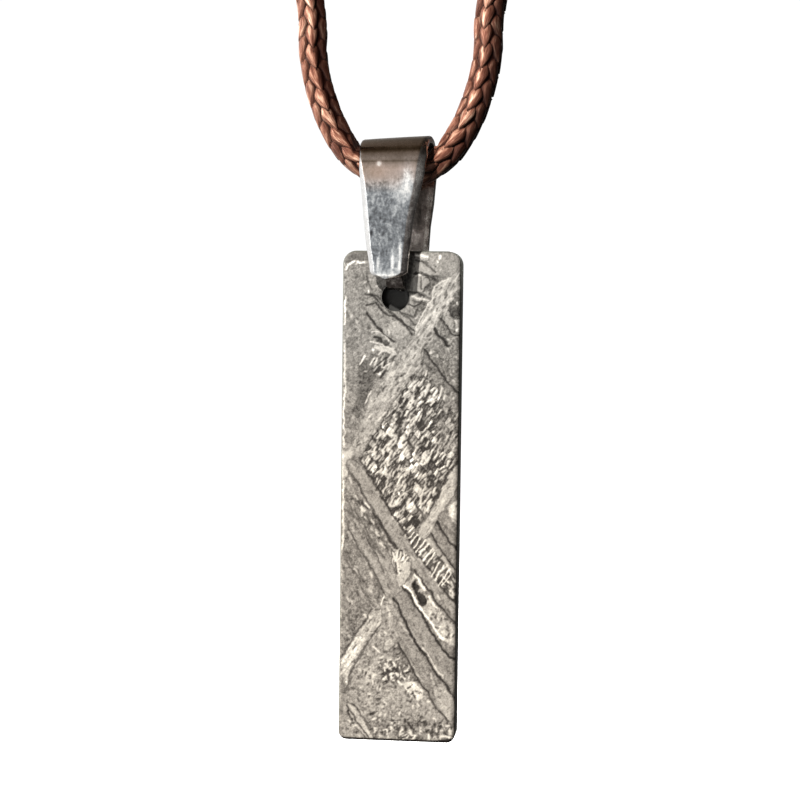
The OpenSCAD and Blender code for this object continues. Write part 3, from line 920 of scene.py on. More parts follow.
     (3, 31), (2.6, 31.5), (2.25, 32.05), (1.78, 32.8), (1.35, 33.5), (1.07, 34.3), (0.87, 34.8),
     (0.91, 35.35), (0.72, 35.85), (0.5, 35.5), (0.45, 34.9), (0.15, 34.2), (0.15, 33.2), (0.52, 32.9),
     (0.91, 32.1), (1.5, 31.3), (1.75, 30.6), (2.4, 29.85)]),
    # beige band pale
    (0.76, 0.9, 0.3, 1, 0, [(1.55, 31.4), (2.1, 31.55), (1.95, 32.2), (1.5, 32.95), (1.15, 33.6),
     (0.85, 34.4), (0.7, 35.2), (0.5, 34.8), (0.3, 34.1), (0.3, 33.3), (0.6, 32.85), (1, 32.1)]),
    # corner strip
    (0.66, 0.3, 0.1, -1, 0.25, [(0.8, 36.9), (1.25, 37.1), (2.05, 38.1), (2.95, 39.75), (2.55, 39.95),
     (1.65, 38.95), (1, 38)]),
    # corner plate
    (0.6, 0.4, 0.1, 0, 0.1, [(1.65, 37.5), (2.5, 37.4), (2.6, 37.85), (2.15, 38.3)]),
]
# the comb's strokes, each from its start to its end
COMB = [
    (5.65, 23.25, 6.1, 22.85), (5.8, 23.65, 6.4, 23), (6.1, 24, 6.65, 23.25), (6.35, 24.35, 7.05, 23.4),
    (6.6, 24.65, 7.3, 23.7), (6.85, 25.1, 7.6, 24.05), (7.1, 25.35, 7.75, 24.4), (7.6, 26.4, 8.2, 25.2),
    (7.85, 26.65, 8.5, 25.45), (8.15, 27.05, 8.95, 25.7), (8.4, 27.1, 9.05, 26.25)]
# tone, width and relief of each line, and its points
LINES = [
    # the first lines are painted highlights along the rounded left and top-left edges
    (0.95, 0.1, 0, [(0.25, 3.8), (0.3, 6)]),
    (0.88, 0.09, 0, [(0.25, 7.5), (0.3, 11.05), (0.25, 13.1), (0.25, 15.9)]),
    (0.88, 0.1, 0, [(0.25, 18.7), (0.25, 22.25), (0.25, 24.35)]),
    (0.97, 0.16, 0, [(0.3, 1.5), (0.45, 1.1), (0.9, 0.95)]),
    (0.97, 0.16, 0, [(1.25, 0.9), (1.7, 0.95)]),
    (0.9, 0.09, 0, [(9.45, 0.45), (9.7, 0.95), (9.75, 2.1)]),
    (0.8, 0.1, 0.01, [(8.8, 2.2), (7.5, 2.8), (7.25, 3.9), (6.35, 5.4), (5.95, 6.4)]),
    (0.25, 0.1, -0.03, [(6.75, 7.95), (6.6, 9.2)]),
    (0.1, 0.13, -0.05, [(6.75, 7.95), (7.4, 8.9), (8.05, 9.7), (8.85, 10.8), (9.6, 11.5)]),
    (0.08, 0.2, -0.05, [(7.55, 6.2), (7.85, 6.75), (8.4, 7.3), (8.7, 7.65)]),
    (0.12, 0.12, -0.04, [(8, 5.35), (8.4, 5.9), (8.75, 6.45), (9.25, 6.75), (9.7, 6.7)]),
    (0.14, 0.13, -0.04, [(2.5, 3.6), (3.15, 4.3), (3.8, 4.85), (4.65, 5.5), (5.25, 5.95), (5.9, 6.45)]),
    (0.12, 0.17, -0.04, [(2.05, 5.05), (2.6, 5.8), (3.2, 6.45), (3.65, 7), (4.3, 7.35)]),
    (0.18, 0.12, -0.03, [(5.05, 5.2), (5.5, 5.4), (5.9, 5.95)]),
    (0.6, 0.75, 0.01, [(6.3, 1.2), (7.1, 1.5)]),
    (0.58, 0.6, 0.01, [(6.05, 2.3), (6, 2.9)]),
    (0.55, 0.5, 0.01, [(6.85, 2.4), (6.6, 3)]),
    (0.93, 0.13, 0.01, [(5.9, 0.35), (6.4, 0.4), (6.9, 0.5)]),
    (0.9, 0.12, 0.01, [(5.95, 2), (6.45, 1.92)]),
    (0.22, 0.1, -0.03, [(6.4, 2.2), (6.45, 3.1)]),
    (0.2, 0.11, -0.03, [(5.91, 0.75), (6.43, 0.81), (7.09, 1.21), (7.62, 1.73)]),
    (0.18, 0.13, -0.03, [(5.78, 1.8), (6.43, 1.67), (6.96, 1.93), (7.62, 2.32)]),
    (0.16, 0.12, -0.03, [(5.38, 3.24), (6.04, 3.37), (6.7, 3.7), (6.43, 4.22), (5.91, 4.49), (5.45, 4.29),
     (5.38, 3.24)]),
    (0.22, 0.12, -0.03, [(6.96, 1.99), (7.09, 2.65), (6.57, 3.31)]),
    (0.2, 0.12, -0.03, [(4.47, 4.75), (4.86, 5.01), (5.91, 5.27), (6.17, 4.75)]),
    (0.16, 0.13, -0.04, [(1.84, 3.44), (2.89, 3.7), (3.4, 4.1)]),
    (0.22, 0.11, -0.03, [(2, 1.99), (2.13, 2.65), (2.5, 3.17)]),
    (0.14, 0.13, -0.04, [(1.97, 4.36), (2.76, 4.22), (3.42, 5.01), (4.33, 5.41), (5.25, 6.06),
     (5.65, 6.72)]),
    (0.85, 0.09, 0.02, [(2.45, 6.6), (3.1, 6.6), (3.5, 6.85), (3.85, 7.3)]),
    (0.1, 0.16, -0.04, [(2.65, 6.98), (3.3, 7.15)]),
    (0.8, 0.12, 0.02, [(2.3, 7.35), (2.9, 7.45), (3.5, 7.7), (4.2, 7.95)]),
    (0.22, 0.1, -0.03, [(5.95, 1.75), (6.65, 1.9), (7.8, 2.1)]),
    (0.22, 0.1, -0.03, [(5.6, 3.25), (6.3, 3.4), (7.05, 3.75)]),
    (0.25, 0.1, -0.03, [(5.75, 4), (6.35, 4.1), (6.9, 4.25)]),
    (0.25, 0.1, -0.03, [(5.85, 4.65), (6.35, 4.85), (6.8, 4.55)]),
    (0.82, 0.12, 0.01, [(5.65, 3.65), (6.3, 3.75), (7, 3.95)]),
    (0.97, 0.16, 0, [(7.9, 0.35), (7.9, 0.55)]),
    (0.97, 0.16, 0, [(7.7, 0.8), (7.75, 0.9)]),
    (0.97, 0.14, 0, [(2.15, 3.2), (2.2, 3.35)]),
    (0.95, 0.14, 0, [(9.4, 4.15), (9.45, 4.25)]),
    (0.95, 0.14, 0, [(9.4, 6.4), (9.45, 6.3)]),
    (0.95, 0.16, 0, [(2.45, 7.95), (2.55, 8.05)]),
    (0.92, 0.12, 0.02, [(1.5, 9.15), (1.95, 8.5)]),
    (0.92, 0.12, 0.02, [(2.3, 9.15), (2.65, 8.7)]),
    (0.85, 0.1, 0.02, [(2.05, 12.3), (2.5, 11.3)]),
    (0.16, 0.1, -0.03, [(1.5, 16.8), (2.2, 17.85), (2.85, 18.75), (3.55, 19.95), (4.2, 21.15),
     (4.85, 22.05), (5.45, 22.9)]),
    (0.14, 0.12, -0.04, [(5.45, 22.9), (6.2, 24.2), (6.85, 25.1), (7.55, 25.9), (8.1, 26.75),
     (8.85, 27.75), (9.7, 28.65)]),
    (0.24, 0.1, -0.03, [(0.95, 18.15), (1.65, 19.15), (2.3, 20.45), (2.9, 21.35), (3.55, 22.3),
     (4.15, 23.2), (4.8, 24.15), (5.45, 24.95)]),
    (0.14, 0.13, -0.04, [(6.15, 25.8), (6.6, 26.5), (7.45, 27.6), (8.15, 28.55), (8.9, 29.45),
     (9.75, 30.35)]),
    (0.2, 0.1, -0.03, [(0.55, 22.35), (1.2, 23.55), (1.9, 24.65), (2.75, 25.95), (3.25, 27), (3.8, 27.9)]),
    (0.28, 0.09, -0.02, [(0.3, 24.7), (0.75, 25.55), (1.05, 26), (1.65, 26.75), (2, 27.7), (2.8, 28.9)]),
    (0.26, 0.1, -0.03, [(1.2, 21.05), (1.65, 21.95), (2.35, 22.95), (3.1, 24.1), (3.7, 24.9)]),
    (0.14, 0.13, -0.04, [(2.7, 21.3), (3.35, 22.1), (3.85, 22.95), (4.3, 23.65), (4.8, 24.2)]),
    (0.3, 0.09, -0.02, [(0.5, 20.2), (1.1, 21.2), (1.6, 22.25)]),
    (0.16, 0.12, -0.03, [(9.6, 16.85), (8.9, 17.75), (8.3, 19), (7.85, 19.85), (7.2, 21.25)]),
    (0.1, 0.15, -0.05, [(7.9, 21.9), (8.5, 22.7), (9.2, 23.65), (9.55, 24.1)]),
    (0.12, 0.13, -0.04, [(7.45, 22.85), (7.9, 23.6), (8.55, 24.5), (9.4, 25.7)]),
    (0.93, 0.18, 0.02, [(5.4, 27.15), (5.75, 27.45), (6.25, 28.3), (6.9, 29.2), (7.7, 30.25),
     (8.15, 31.05), (8.65, 31.45)]),
    (0.9, 0.18, 0.02, [(6.15, 26.1), (6.6, 26.85), (7.05, 27.45)]),
    (0.86, 0.22, 0.02, [(7.4, 28), (7.75, 28.65), (8.05, 28.9)]),
    (0.1, 0.15, -0.05, [(5.3, 27.35), (5.8, 27.8), (6.25, 28.7), (6.85, 29.55), (7.5, 30.7), (8.15, 31.65),
     (8.55, 32.25), (9.05, 32.8), (9.75, 33.25)]),
    (0.3, 0.08, -0.02, [(5.4, 27), (5.95, 26.45), (6.15, 25.95)]),
    (0.08, 0.16, -0.06, [(4.5, 28.25), (4.95, 29), (5.35, 29.85), (5.8, 30.95), (6.5, 31.95), (7.15, 32.7)]),
    (0.1, 0.13, -0.05, [(6.7, 32.25), (7.15, 32.95), (7.75, 33.9), (8.2, 34.45), (8.8, 35.15),
     (9.55, 36.25)]),
    (0.82, 0.09, 0.01, [(6.9, 32.15), (7.35, 32.8), (7.9, 33.7), (8.6, 34.6)]),
    (0.14, 0.14, -0.05, [(4.9, 31.9), (5.35, 32.65), (5.85, 33.5), (6.4, 34.4), (6.9, 35.25), (7.5, 35.95)]),
    (0.2, 0.14, -0.04, [(7.5, 35.95), (7.85, 36.8), (8.45, 37.55), (9.1, 38.1)]),
    (0.22, 0.08, -0.02, [(2.8, 29.15), (2.15, 30.05), (1.3, 31.35), (0.45, 32.7), (0.2, 33.2)]),
    (0.24, 0.08, -0.02, [(3.45, 30.45), (2.55, 31.8), (2, 32.75), (1.25, 33.95), (0.9, 35), (0.65, 36.2)]),
    (0.95, 0.1, 0.02, [(3.45, 28.75), (3.7, 28.05)]),
    (0.92, 0.1, 0.02, [(2.85, 32.3), (3.3, 32.7)]),
    (0.14, 0.09, -0.03, [(0.8, 37.15), (1.45, 38.25), (2.25, 39.3), (2.6, 39.8)]),
    (0.2, 0.08, -0.03, [(1.15, 36.95), (1.95, 37.85), (2.9, 39.15)]),
    *[(0.95, 0.11, 0.02, [(u0, v0), (u1, v1)]) for u0, v0, u1, v1 in COMB],
    (0.92, 0.1, 0.02, [(4.35, 24.4), (4.5, 24.95)]),
    (0.92, 0.11, 0.02, [(4.78, 24.2), (4.62, 25.1)]),
    (0.9, 0.1, 0.02, [(5, 24.4), (4.78, 25.4)]),
    (0.92, 0.12, 0.02, [(5.3, 24.55), (5.05, 25.1)]),
    (0.9, 0.1, 0.02, [(5.6, 24.75), (5.3, 25.2)]),
    (0.9, 0.1, 0.02, [(4.75, 25.5), (4.88, 26.15)]),
    (0.22, 0.09, -0.02, [(4.65, 25.25), (4.62, 26.1)]),
    (0.24, 0.09, -0.02, [(4.3, 24.2), (4.25, 25.1), (4.5, 26)]),
    (0.24, 0.09, -0.02, [(1.9, 22.7), (2.9, 24.5), (3.75, 26.2)]),
    (0.09, 0.18, -0.06, [(6.12, 26.85), (6.25, 27.35), (6.45, 27.85), (6.7, 28.3), (6.85, 28.6)]),
    (0.1, 0.16, -0.05, [(0.9, 37.6), (0.95, 37.65)]),
    (0.1, 0.16, -0.05, [(1.2, 38.25), (1.25, 38.3)]),
    (0.12, 0.2, -0.05, [(2.65, 37.75), (2.85, 37.75)]),
]


SIDE = 64


def lattice(seed):
    """a square of even random numbers"""
    return np.random.default_rng(seed).random((SIDE, SIDE))


def cells(x, y, seed):
    """smooth noise from 0 to 1 with one cell to the unit"""
    grid = lattice(seed)
    xi, yi = np.floor(x).astype(int), np.floor(y).astype(int)
    fx, fy = x - xi, y - yi
    fx, fy = fx * fx * (3 - 2 * fx), fy * fy * (3 - 2 * fy)
    a, b, c, d = (grid[(xi + i) % SIDE, (yi + j) % SIDE] for j in (0, 1) for i in (0, 1))
    return (a * (1 - fx) + b * fx) * (1 - fy) + (c * (1 - fx) + d * fx) * fy


def seg_distance(u, v, p, q):
    """distance from the segment between p and q"""
    dx, dy = q[0] - p[0], q[1] - p[1]
    t = np.clip(((u - p[0]) * dx + (v - p[1]) * dy) / max(dx * dx + dy * dy, 1e-9), 0, 1)
    return np.hypot(u - p[0] - t * dx, v - p[1] - t * dy)


def inside_depth(u, v, pts):
    """distance from a polygon's outline, positive inside"""
    best = np.full(u.shape, 9.0)
    odd = np.zeros(u.shape, bool)
    for p, q in zip(pts, pts[1:] + pts[:1]):
        best = np.minimum(best, seg_distance(u, v, p, q))
        if p[1] != q[1]:
            cross = (p[1] > v) != (q[1] > v)
            at = p[0] + (v - p[1]) * (q[0] - p[0]) / (q[1] - p[1])
            odd ^= cross & (u < at)
    return np.where(odd, best, -best)


def wobble(u, v):
    """a little unevenness for outlines that were charted with straight pieces"""
    du, dv = ((cells(u * 2.1, v * 2.1, seed) - 0.5) * 0.16
              + (cells(u * 6.0, v * 6.0, seed + 1) - 0.5) * 0.09 for seed in (5, 7))
    return u + du, v + dv


ROW_WIDTH = 0.57


def blocks(u, v):
    """level of small blocks that stand in slanting rows, and the dark gaps between them"""
    chances = lattice(24)
    across = (0.8 * u - 0.6 * v) / ROW_WIDTH + 0.9 * (cells(u * 0.9, v * 0.9, 23) - 0.5)
    row = np.floor(across).astype(int)
    width = 0.17 + 0.2 * chances[row % SIDE, 0]
    along = (0.8 * u + 0.6 * v) / width + 8 * chances[row % SIDE, 1]
    along = along + 1.1 * (cells(u * 2.2, v * 2.2, 25) - 0.5)
    col = np.floor(along).astype(int)
    level = chances[(row * 7 + 3) % SIDE, (col + row * 5) % SIDE]
    from_row = np.minimum(across - row, row + 1 - across) * ROW_WIDTH
    from_col = np.minimum(along - col, col + 1 - along) * width
    row_gap, col_gap = np.clip(1.2 - from_row / 0.08, 0, 1), np.clip(1.1 - from_col / 0.06, 0, 1)
    return level, np.maximum(row_gap, 0.85 * col_gap)


def near(u, v, pts, margin):
    """places within the margin of the box around the points"""
    a = np.array(pts)
    return ((u > a[:, 0].min() - margin) & (u < a[:, 0].max() + margin)
            & (v > a[:, 1].min() - margin) & (v < a[:, 1].max() + margin))


def blend(layer, box, value, k):
    """draws the value over a part of the layer, k being its cover from 0 to 1"""
    layer[box] = layer[box] * (1 - k) + value * k


def spark_at(u, v):
    """sparkle and lean of the plates at each place"""
    spark, lean = np.full(u.shape, 0.1), np.zeros(u.shape)
    for _, _, p_spark, p_lean, _, pts in PLATES:
        k = inside_depth(u, v, pts) > 0
        spark = np.where(k, p_spark, spark)
        lean = np.where(k, p_lean, lean)
    return spark, lean


# width over which charted outlines blend, and the number of dashes that are tried
SOFT = 0.1
DASHES = 9000


def draw_plates(uw, vw):
    """tone, relief, grain and lean of the plates, each drawn over the ones before"""
    tone, grain = np.full(uw.shape, 0.47), np.full(uw.shape, 0.5)
    lean, relief, edge = (np.zeros(uw.shape) for _ in range(3))
    for p_tone, p_grain, _, p_lean, rim, pts in PLATES:
        box = near(uw, vw, pts, 0.3)
        if not box.any():
            continue
        d = inside_depth(uw[box], vw[box], pts)
        k = np.clip(0.5 + d / SOFT, 0, 1)
        blend(tone, box, p_tone, k)
        blend(grain, box, p_grain, k)
        blend(edge, box, 0, k)
        lean[box] = np.where(k > 0.5, p_lean, lean[box])
        if rim > 0:
            edge[box] = np.maximum(edge[box], rim * np.clip(1 - np.abs(d + 0.02) / 0.09, 0, 1))
            relief[box] += 0.012 * k * np.clip(d / 0.25, 0, 1)
    return tone - edge, relief, grain, lean


def draw_grain(u, v, tone, relief, grain, lean):
    """fine grain, streaks along the lean of the plates, and thin dark veins between small grains"""
    soft = cells(u * 3.1, v * 3.1, 11) - 0.5
    mid = cells(u * 6.7, v * 6.7, 12) - 0.5
    fine = cells(u * 12.5, v * 12.5, 13) - 0.5
    grit = 0.5 * soft + 0.8 * mid + 1.0 * fine
    way = np.where(lean < 0, -1.0, 1.0)
    au, av = u * 0.84 + way * v * 0.54, -way * u * 0.54 + v * 0.84
    streak = (cells(au * 7.5, av * 1.1, 14) - 0.5) + 0.7 * (cells(au * 14.0, av * 2.4, 15) - 0.5)
    strong = np.where(lean == 0, 0.0, np.where(lean == 2, 1.0, 0.55))
    mix = grit * (1 - 0.6 * strong) + streak * strong * 1.5
    tone += mix * grain * 0.3
    for scale, seed, deep in ((2.6, 17, 0.10), (4.6, 18, 0.09)):
        field = cells(u * scale + 0.6 * soft, v * scale + 0.6 * mid, seed) - 0.5
        tone -= deep * np.exp(-(field / 0.05) ** 2) * (0.45 + grain)
    relief += mix * grain * 0.018


def draw_blocks(u, v, uw, vw, tone, relief):
    """small blocks with dark gaps in the rough field"""
    k = np.clip(inside_depth(uw, vw, ROUGH_FIELD) / 0.2, 0, 1)
    k *= 1 - 0.55 * np.clip(0.5 + inside_depth(uw, vw, ROUGH_RIGHT) / 0.4, 0, 1)
    level, gap = blocks(u, v)
    tone += k * (0.8 * (level ** 1.3 - 0.3) - 0.3 * gap)
    tone[k > 0] = np.maximum(tone[k > 0], 0.15)
    relief += k * 0.03 * (level - 0.5 - gap)


def draw_dashes(u, v, tone, relief):
    """bright and dark dashes, more of them where the plate sparkles; the bright ones are painted sparkle
    glints, raised a little
    """
    rng = np.random.default_rng(21)
    cu, cv = rng.random(DASHES) * BAR_W, rng.random(DASHES) * BAR_L
    chance, kind, size = rng.random(DASHES), rng.random(DASHES), rng.random(DASHES)
    turn = rng.standard_normal(DASHES)
    # how much the plates sparkle is looked up on a coarse grid
    step = 0.25
    spark, leans = spark_at(*np.meshgrid(np.arange(0, 9.7, step), np.arange(0, 40.1, step)))
    row, col = (np.clip((c / step).astype(int), 0, n - 1) for c, n in zip((cv, cu), spark.shape))
    s_here, l_here = spark[row, col], leans[row, col]
    for i in np.nonzero(chance < s_here ** 1.3)[0]:
        leaning = l_here[i] != 0
        angle = turn[i] * 1.5
        if leaning:
            angle = (-1.0 if l_here[i] > 0 else 1.0) * 0.98 + 0.22 * turn[i]
        long = (0.09 + 0.2 * size[i] ** 2) * (1.0 if leaning else 0.5) * (0.6 + 0.6 * s_here[i])
        wide = 0.03 + 0.05 * size[i]
        dx, dy = math.cos(angle) * long, math.sin(angle) * long
        box = (np.abs(u - cu[i]) < long + 0.2) & (np.abs(v - cv[i]) < long + 0.2)
        if not box.any():
            continue
        d = seg_distance(u[box], v[box], (cu[i] - dx, cv[i] - dy), (cu[i] + dx, cv[i] + dy))
        k = np.clip((wide - d) / SOFT + 0.5, 0, 1) * (0.5 + 0.5 * s_here[i])
        bright = kind[i] < 0.56
        blend(tone, box, 0.62 + 0.27 * size[i] if bright else 0.17, k)
        relief[box] += (0.02 if bright else -0.03) * k


def draw_lines(uw, vw, tone, relief):
    """the charted lines"""
    for l_tone, width, rise, pts in LINES:
        box = near(uw, vw, pts, 0.4)
        if not box.any():
            continue
        d = np.full(int(box.sum()), 9.0)
        for p, q in zip(pts, pts[1:]):
            d = np.minimum(d, seg_distance(uw[box], vw[box], p, q))
        blend(tone, box, l_tone, np.clip((width / 2 - d) / SOFT + 0.5, 0, 1))
        relief[box] += rise * np.clip(1 - d / (width / 2 + 0.06), 0, 1)


def face_pattern(u, v):
    """relief in mm and tone from 0 to 1 at each place of a face"""
    uw, vw = wobble(u, v)
    tone, relief, grain, lean = draw_plates(uw, vw)
    draw_grain(u, v, tone, relief, grain, lean)
    draw_blocks(u, v, uw, vw, tone, relief)
    draw_dashes(u, v, tone, relief)
    draw_lines(uw, vw, tone, relief)
    return relief, np.clip(tone, 0.02, 1.1)


class Shell:
    """vertices with their attributes, and faces, gathered from several parts"""

    def __init__(self):
        self.verts, self.values, self.faces, self.count = [], [], [], 0

    def add(self, pts, *values):
        """points with their tone, wall and deep values, deep being painted shade in the hole; gives the first
        point's number
        """
        start, n = self.count, len(pts)
        self.verts.append(np.asarray(pts))
        self.values.append([np.broadcast_to(np.asarray(v, dtype=float), (n,)) for v in values])
        self.count += n
        return start

    def strip(self, a, b, flip):
        """quads between two closed loops of vertex numbers"""
        n = len(a)
        for i in range(n):
            j = (i + 1) % n
            quad = (a[i], a[j], b[j], b[i])
            self.faces.append(quad[::-1] if flip else quad)

    def rings(self, last, made, flip):
        """closed loops of new points, each joined to the one before; gives the last loop"""
        for pts, *values in made:
            start = self.add(pts, *values)
            now = list(range(start, start + len(pts)))
            self.strip(last, now, flip)
            last = now
        return last


def edge_tone(u, v):
    """tone of the rounded edges and walls, with painted shade: dark at the right and below, paler at the left
    and on top
    """
    near_right, near_low = BAR_W - u, BAR_L - v
    dark = (near_right < np.minimum(u, v)) | (near_low < np.minimum(u, v))
    return np.where(dark, 0.1 + 0.3 * np.clip((5.0 - v) / 3, 0, 1), np.where(u < v, 0.42, 0.36))


def shade_edges(u, v, drop, tone, side):
    """tone with the rounded edge, its painted dark rim and a painted shadow beside the bail's tongue, and how
    much each place belongs to the wall
    """
    from_low, from_right = BAR_L - v, BAR_W - u
    # the painted dark rim at the right is narrow
    wall = np.clip((drop - np.where(from_right < 1, 0.13, 0.05)) / 0.1, 0, 1)
    # painted shade: the rounded edge is dark at the right and below, paler at the left and on top
    tone = tone * (1 - wall) + edge_tone(u, v) * wall
    # painted shade along the bottom rim and, below the top, the right rim
    corner = np.clip((u - BAR_W + 1.5) / 1.2, 0, 1)
    shaded = np.maximum(0.24 + 0.22 * corner - from_low, 0.05 - from_right - 0.4 * np.clip(0.9 - v, 0, 1))
    shaded = np.clip(shaded / 0.06 + cells(u * 3, v * 3, 19) - 0.5, 0, 1)
    tone = tone * (1 - shaded) + 0.07 * shaded
    # a painted shadow of the bail's leg beside its tongue, on the front face
    painted_shadow = np.clip((u - 4.9) / 0.15, 0, 1) * np.clip((5.95 - 0.12 * v - u) / 0.15, 0, 1)
    painted_shadow *= np.clip((3.3 - v) / 0.3, 0, 1)
    return tone * (1 - 0.45 * painted_shadow * (side < 0)), wall


def face_grid(us, vs):
    """places of a face's grid, with those beside the hole moved to its rim

    gives u and v, the quads that are kept, the places in use and those on the rim"""
    u = (half_width(vs)[:, None] * us[None, :]) + BAR_W / 2
    v = np.repeat(vs[:, None], len(us), axis=1)
    du, dv = u - HOLE_U, v - HOLE_V
    dist = np.hypot(du, dv)
    cut = dist < HOLE_R - 0.02
    keep = ~(cut[:-1, :-1] | cut[1:, :-1] | cut[:-1, 1:] | cut[1:, 1:])
    used, gone = np.zeros(u.shape, bool), np.zeros(u.shape, bool)
    for a in (slice(0, -1), slice(1, None)):
        for b in (slice(0, -1), slice(1, None)):
            used[a, b] |= keep
            gone[a, b] |= ~keep
    rim = used & gone
    k = np.where(rim, HOLE_R / np.maximum(dist, 1e-6), 1.0)
    return HOLE_U + du * k, HOLE_V + dv * k, keep, used, rim


def rim_loop(index, keep, rim):
    """numbers of the places along the hole's rim, in order"""
    edges = []
    r, c = np.nonzero(keep & (rim[:-1, :-1] | rim[1:, :-1] | rim[:-1, 1:] | rim[1:, 1:]))
    corners = (index[r, c], index[r, c + 1], index[r + 1, c + 1], index[r + 1, c])
    on_rim = set(index[rim].tolist())
    for a, b in zip(corners, corners[1:] + corners[:1]):
        edges += [(p, q) for p, q in zip(a.tolist(), b.tolist()) if p in on_rim and q in on_rim]
    both = set(edges)
    follow = {p: q for p, q in edges if (q, p) not in both}
    first = next(iter(follow))
    loop = [first]
    while follow[loop[-1]] != first:
        loop.append(follow[loop[-1]])
    return loop


def add_hole(shell, last, rim_pts, top, side):
    """the hole's wall and bottom below the rim, which lies the distance top under the face, with a darker
    tone and painted shade that deepens downward
    """
    def ring(narrow, down, deep):
        x, _, z = rim_pts.T
        y = np.full(len(last), side * (BAR_T / 2 - top - down * (HOLE_DEPTH - top)))
        return np.stack([x * narrow, y, HOLE_Z + (z - HOLE_Z) * narrow], axis=1), 0.3, 0.0, deep

    made = [ring(1.0, down, 0.5 + 0.5 * down) for down in (0.08, 0.25, 0.5, 0.75, 1.0)]
    made += [ring(narrow, 1.0, 1.0) for narrow in (0.6, 0.15)]
    last = shell.rings(last, made, side < 0)
    shell.faces.append(tuple(last[::-1] if side < 0 else last))


def add_face(shell, us, vs, side):
    """one etched face, front with side -1 and back with 1, and its blind hole; gives its outer loop"""
    u, v, keep, used, rim = face_grid(us, vs)
    d = edge_distance(u, v)
    inner = np.clip(d, 0, EDGE_R)
    drop = EDGE_R - np.sqrt(np.maximum(0, EDGE_R ** 2 - (EDGE_R - inner) ** 2))
    hole_d = np.hypot(u - HOLE_U, v - HOLE_V) - HOLE_R
    lip = np.clip(1 - hole_d / 0.16, 0, 1) ** 2 * LIP
    relief, tone = face_pattern(u, v)
    fade = np.clip(d / 0.3, 0, 1) * np.clip(hole_d / 0.1, 0, 1)
    y = side * (BAR_T / 2 - drop - lip + np.minimum(relief, 0.02) * fade - 0.02)
    tone, wall = shade_edges(u, v, drop, tone, side)
    pts = np.stack([u - BAR_W / 2 + BAR_X, y, BAR_TOP - v], axis=-1)
    index = np.full(u.shape, -1)
    index[used] = np.arange(used.sum())
    # painted shade on the hole's lip
    start = shell.add(pts[used], tone[used], wall[used], np.clip(lip[used] / LIP, 0, 1) * 0.4)
    r, c = np.nonzero(keep)
    quad = np.stack([index[r, c], index[r, c + 1], index[r + 1, c + 1], index[r + 1, c]], axis=1) + start
    shell.faces += (quad[:, ::-1] if side < 0 else quad).tolist()
    loop = rim_loop(index, keep, rim)
    add_hole(shell, [n + start for n in loop], pts[used][loop], lip.max(), side)
    outer = [*index[0], *index[1:, -1], *index[-1, -2::-1], *index[-2:0:-1, 0]]
    return [int(n) + start for n in outer]


def build_bar():
    us = spaced(BAR_W, FACE_COLS, CLOSE_EDGE, CLOSE_STEPS) / BAR_W * 2 - 1
    vs = spaced(BAR_L, FACE_ROWS, CLOSE_EDGE, CLOSE_STEPS)
    shell = Shell()
    front = add_face(shell, us, vs, -1)
    back = add_face(shell, us[::2], vs[::2], 1)
    faces = np.concatenate(shell.verts)

    def ring(base, y):
        pts = base.copy()
        pts[:, 1] = y
        v = BAR_TOP - pts[:, 2]
        # the flat of a wall in painted shade is a little paler than its front edge
        tone = np.maximum(edge_tone(pts[:, 0] - BAR_X + BAR_W / 2, v), 0.1 if y < -0.9 else 0.18)
        tone += 0.08 * (cells(v * 1.4 + 0.5 * y, pts[:, 0] + 30, 31) - 0.5)
        return pts, tone, 1.0, 0.0

    last = shell.rings(front, [ring(faces[front], y) for y in FINE_LINES], False)
    # the back has half the columns and rows of the front, so here two steps meet one
    start = shell.add(*ring(faces[back], MEETING_LINE))
    now = list(range(start, start + len(back)))
    n = len(now)
    for k in range(n):
        fine = [last[(2 * k + step) % (2 * n)] for step in (0, 1, 2)]
        shell.faces.append((*fine, now[(k + 1) % n], now[k]))
    last = shell.rings(now, [ring(faces[back], y) for y in COARSE_LINES], False)
    shell.strip(last, back, False)
    verts = np.concatenate(shell.verts)
    attrs = dict(zip(("tone", "wall", "deep"), np.concatenate(shell.values, axis=1)))
    attrs["warm"] = np.clip((BAR_TOP - verts[:, 2] - 7) / 12, 0, 1)
    return mesh_object("bar_slab", verts, shell.faces, attrs)


def bar_material():
    m = Material("etched_iron", rough=0.42, metal=0.55)
    tone, wall, deep, low = (m.attribute(name) for name in ("tone", "wall", "deep", "warm"))
    grain = m.noise(m.coords(), 6500.0, 4.0, 0.7)
    level = m.plus(tone, m.span(grain, 0.3, 0.7, -0.1, 0.1))
    cool = m.ramp(level, [(0.0, (0.004, 0.0038, 0.0034)), (0.2, (0.043, 0.04, 0.037)),
                          (0.4, (0.154, 0.147, 0.135)), (0.6, (0.348, 0.333, 0.308)),
                          (0.8, (0.615, 0.59, 0.545)), (1.0, (0.96, 0.955, 0.92))])
    warm = m.ramp(level, [(0.0, (0.004, 0.0037, 0.003)), (0.2, (0.045, 0.039, 0.034)),
                          (0.4, (0.16, 0.144, 0.126)), (0.6, (0.36, 0.33, 0.29)),
                          (0.8, (0.635, 0.59, 0.51)), (1.0, (0.98, 0.95, 0.86))])
    edges = m.mix(m.span(tone, 0.1, 0.5, 0.0, 1.0), (0.012, 0.012, 0.01), (0.20, 0.21, 0.175))
    col = m.mix(m.times(wall, 0.7), m.mix(low, cool, warm), edges)
    # painted shade inside the hole and on its lip
    m.to("Base Color", m.mix(m.span(deep, 0.0, 0.6, 0.0, 1.0), col, (0.05, 0.05, 0.048)))
    m.to("Roughness", m.span(level, 0.2, 0.9, 0.52, 0.32))
    m.to("Normal", m.bump(grain, 0.35, 0.00004))
    return m.mat


bar = build_bar()
bar.data.materials.append(bar_material())
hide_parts("bar")
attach(bar, "bar")


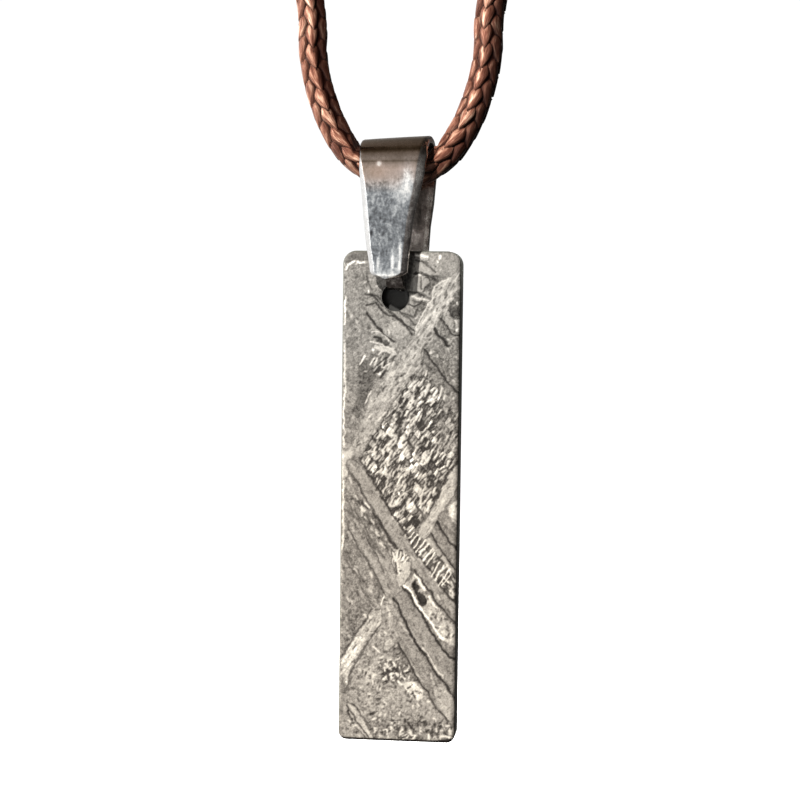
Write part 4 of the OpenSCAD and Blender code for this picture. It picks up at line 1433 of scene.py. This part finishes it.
# stage: a pale floor, soft lights and a surrounding that is bright at the left and dark at the right
def stage():
    down, size = -0.33, 3.0
    mesh = bpy.data.meshes.new("floor")
    corners = [(x * size, y * size, down) for x, y in ((-1, -1), (1, -1), (1, 1), (-1, 1))]
    mesh.from_pydata(corners, [], [(0, 1, 2, 3)])
    floor = bpy.data.objects.new("floor", mesh)
    scene.collection.objects.link(floor)
    m = Material("pale_floor", rough=0.9)
    m.to("Base Color", (0.9, 0.9, 0.9))
    m.to("Emission Color", (1, 0.99, 0.985))
    m.to("Emission Strength", 1.0)
    mesh.materials.append(m.mat)
    floor.visible_glossy = False
    floor.visible_diffuse = False

    world = bpy.data.worlds.new("studio")
    scene.world = world
    world.use_nodes = True
    n = Nodes(world.node_tree)
    way = n.add("ShaderNodeSeparateXYZ", n.add("ShaderNodeTexCoord").outputs["Generated"]).outputs
    sideways = n.ramp(n.span(way["X"], -1, 1, 0, 1), [
        (0, (0.95, 0.94, 0.92)), (0.3, (0.5, 0.49, 0.48)), (0.5, (0.14, 0.1372, 0.1344)),
        (0.7, (0.03, 0.0294, 0.0288)), (1, (0.012, 0.011, 0.01))])
    upward = n.ramp(n.span(way["Z"], -1, 1, 0, 1), [
        (0, (0.5, 0.48, 0.46)), (0.55, (1, 1, 1)), (1, (0.12, 0.1, 0.07))])
    ray = n.add("ShaderNodeLightPath").outputs
    # the fill comes evenly from all sides, the mirrored surrounding doesn't, and it is brighter
    colour = n.mix(ray["Is Glossy Ray"], (0.32, 0.31, 0.3), n.mix(1, sideways, upward, "MULTIPLY"))
    colour = n.mix(ray["Is Camera Ray"], colour, (4.2, 4.2, 4.2))
    back = n.tree.nodes["Background"]
    n.feed(back.inputs["Color"], colour)
    n.feed(back.inputs["Strength"], n.span(ray["Is Glossy Ray"], 0, 1, 0.25, 2.3))


MIDDLE = (0, 0, -0.155)


def soft_light(name, spot, size, power, color, mirrored=True):
    """a rectangular light turned towards the middle of the object"""
    data = bpy.data.lights.new(name, "AREA")
    data.shape = "RECTANGLE"
    data.size, data.size_y = size
    data.energy = power
    data.color = color
    lamp = bpy.data.objects.new(name, data)
    lamp.location = spot
    lamp.visible_glossy = mirrored
    lamp.rotation_euler = (Vector(MIDDLE) - Vector(spot)).to_track_quat("-Z", "Y").to_euler()
    scene.collection.objects.link(lamp)


stage()
soft_light("key_light", (-0.26, -0.72, 0.47), (0.03, 0.03), 38.0, (1, 0.97, 0.93), False)
soft_light("side_light", (-0.88, -0.4, 0.05), (0.12, 0.5), 2.0, (1, 0.97, 0.93))
soft_light("back_light", (0.05, 1.0, 0.2), (0.4, 0.4), 16.0, (1, 0.98, 0.96), False)
soft_light("right_light", (0.72, 0.88, 0.1), (0.2, 0.4), 16.0, (1, 0.98, 0.95), False)
soft_light("front_light", (0.05, -0.8, -0.35), (0.4, 0.3), 0.25, (1, 0.98, 0.96))
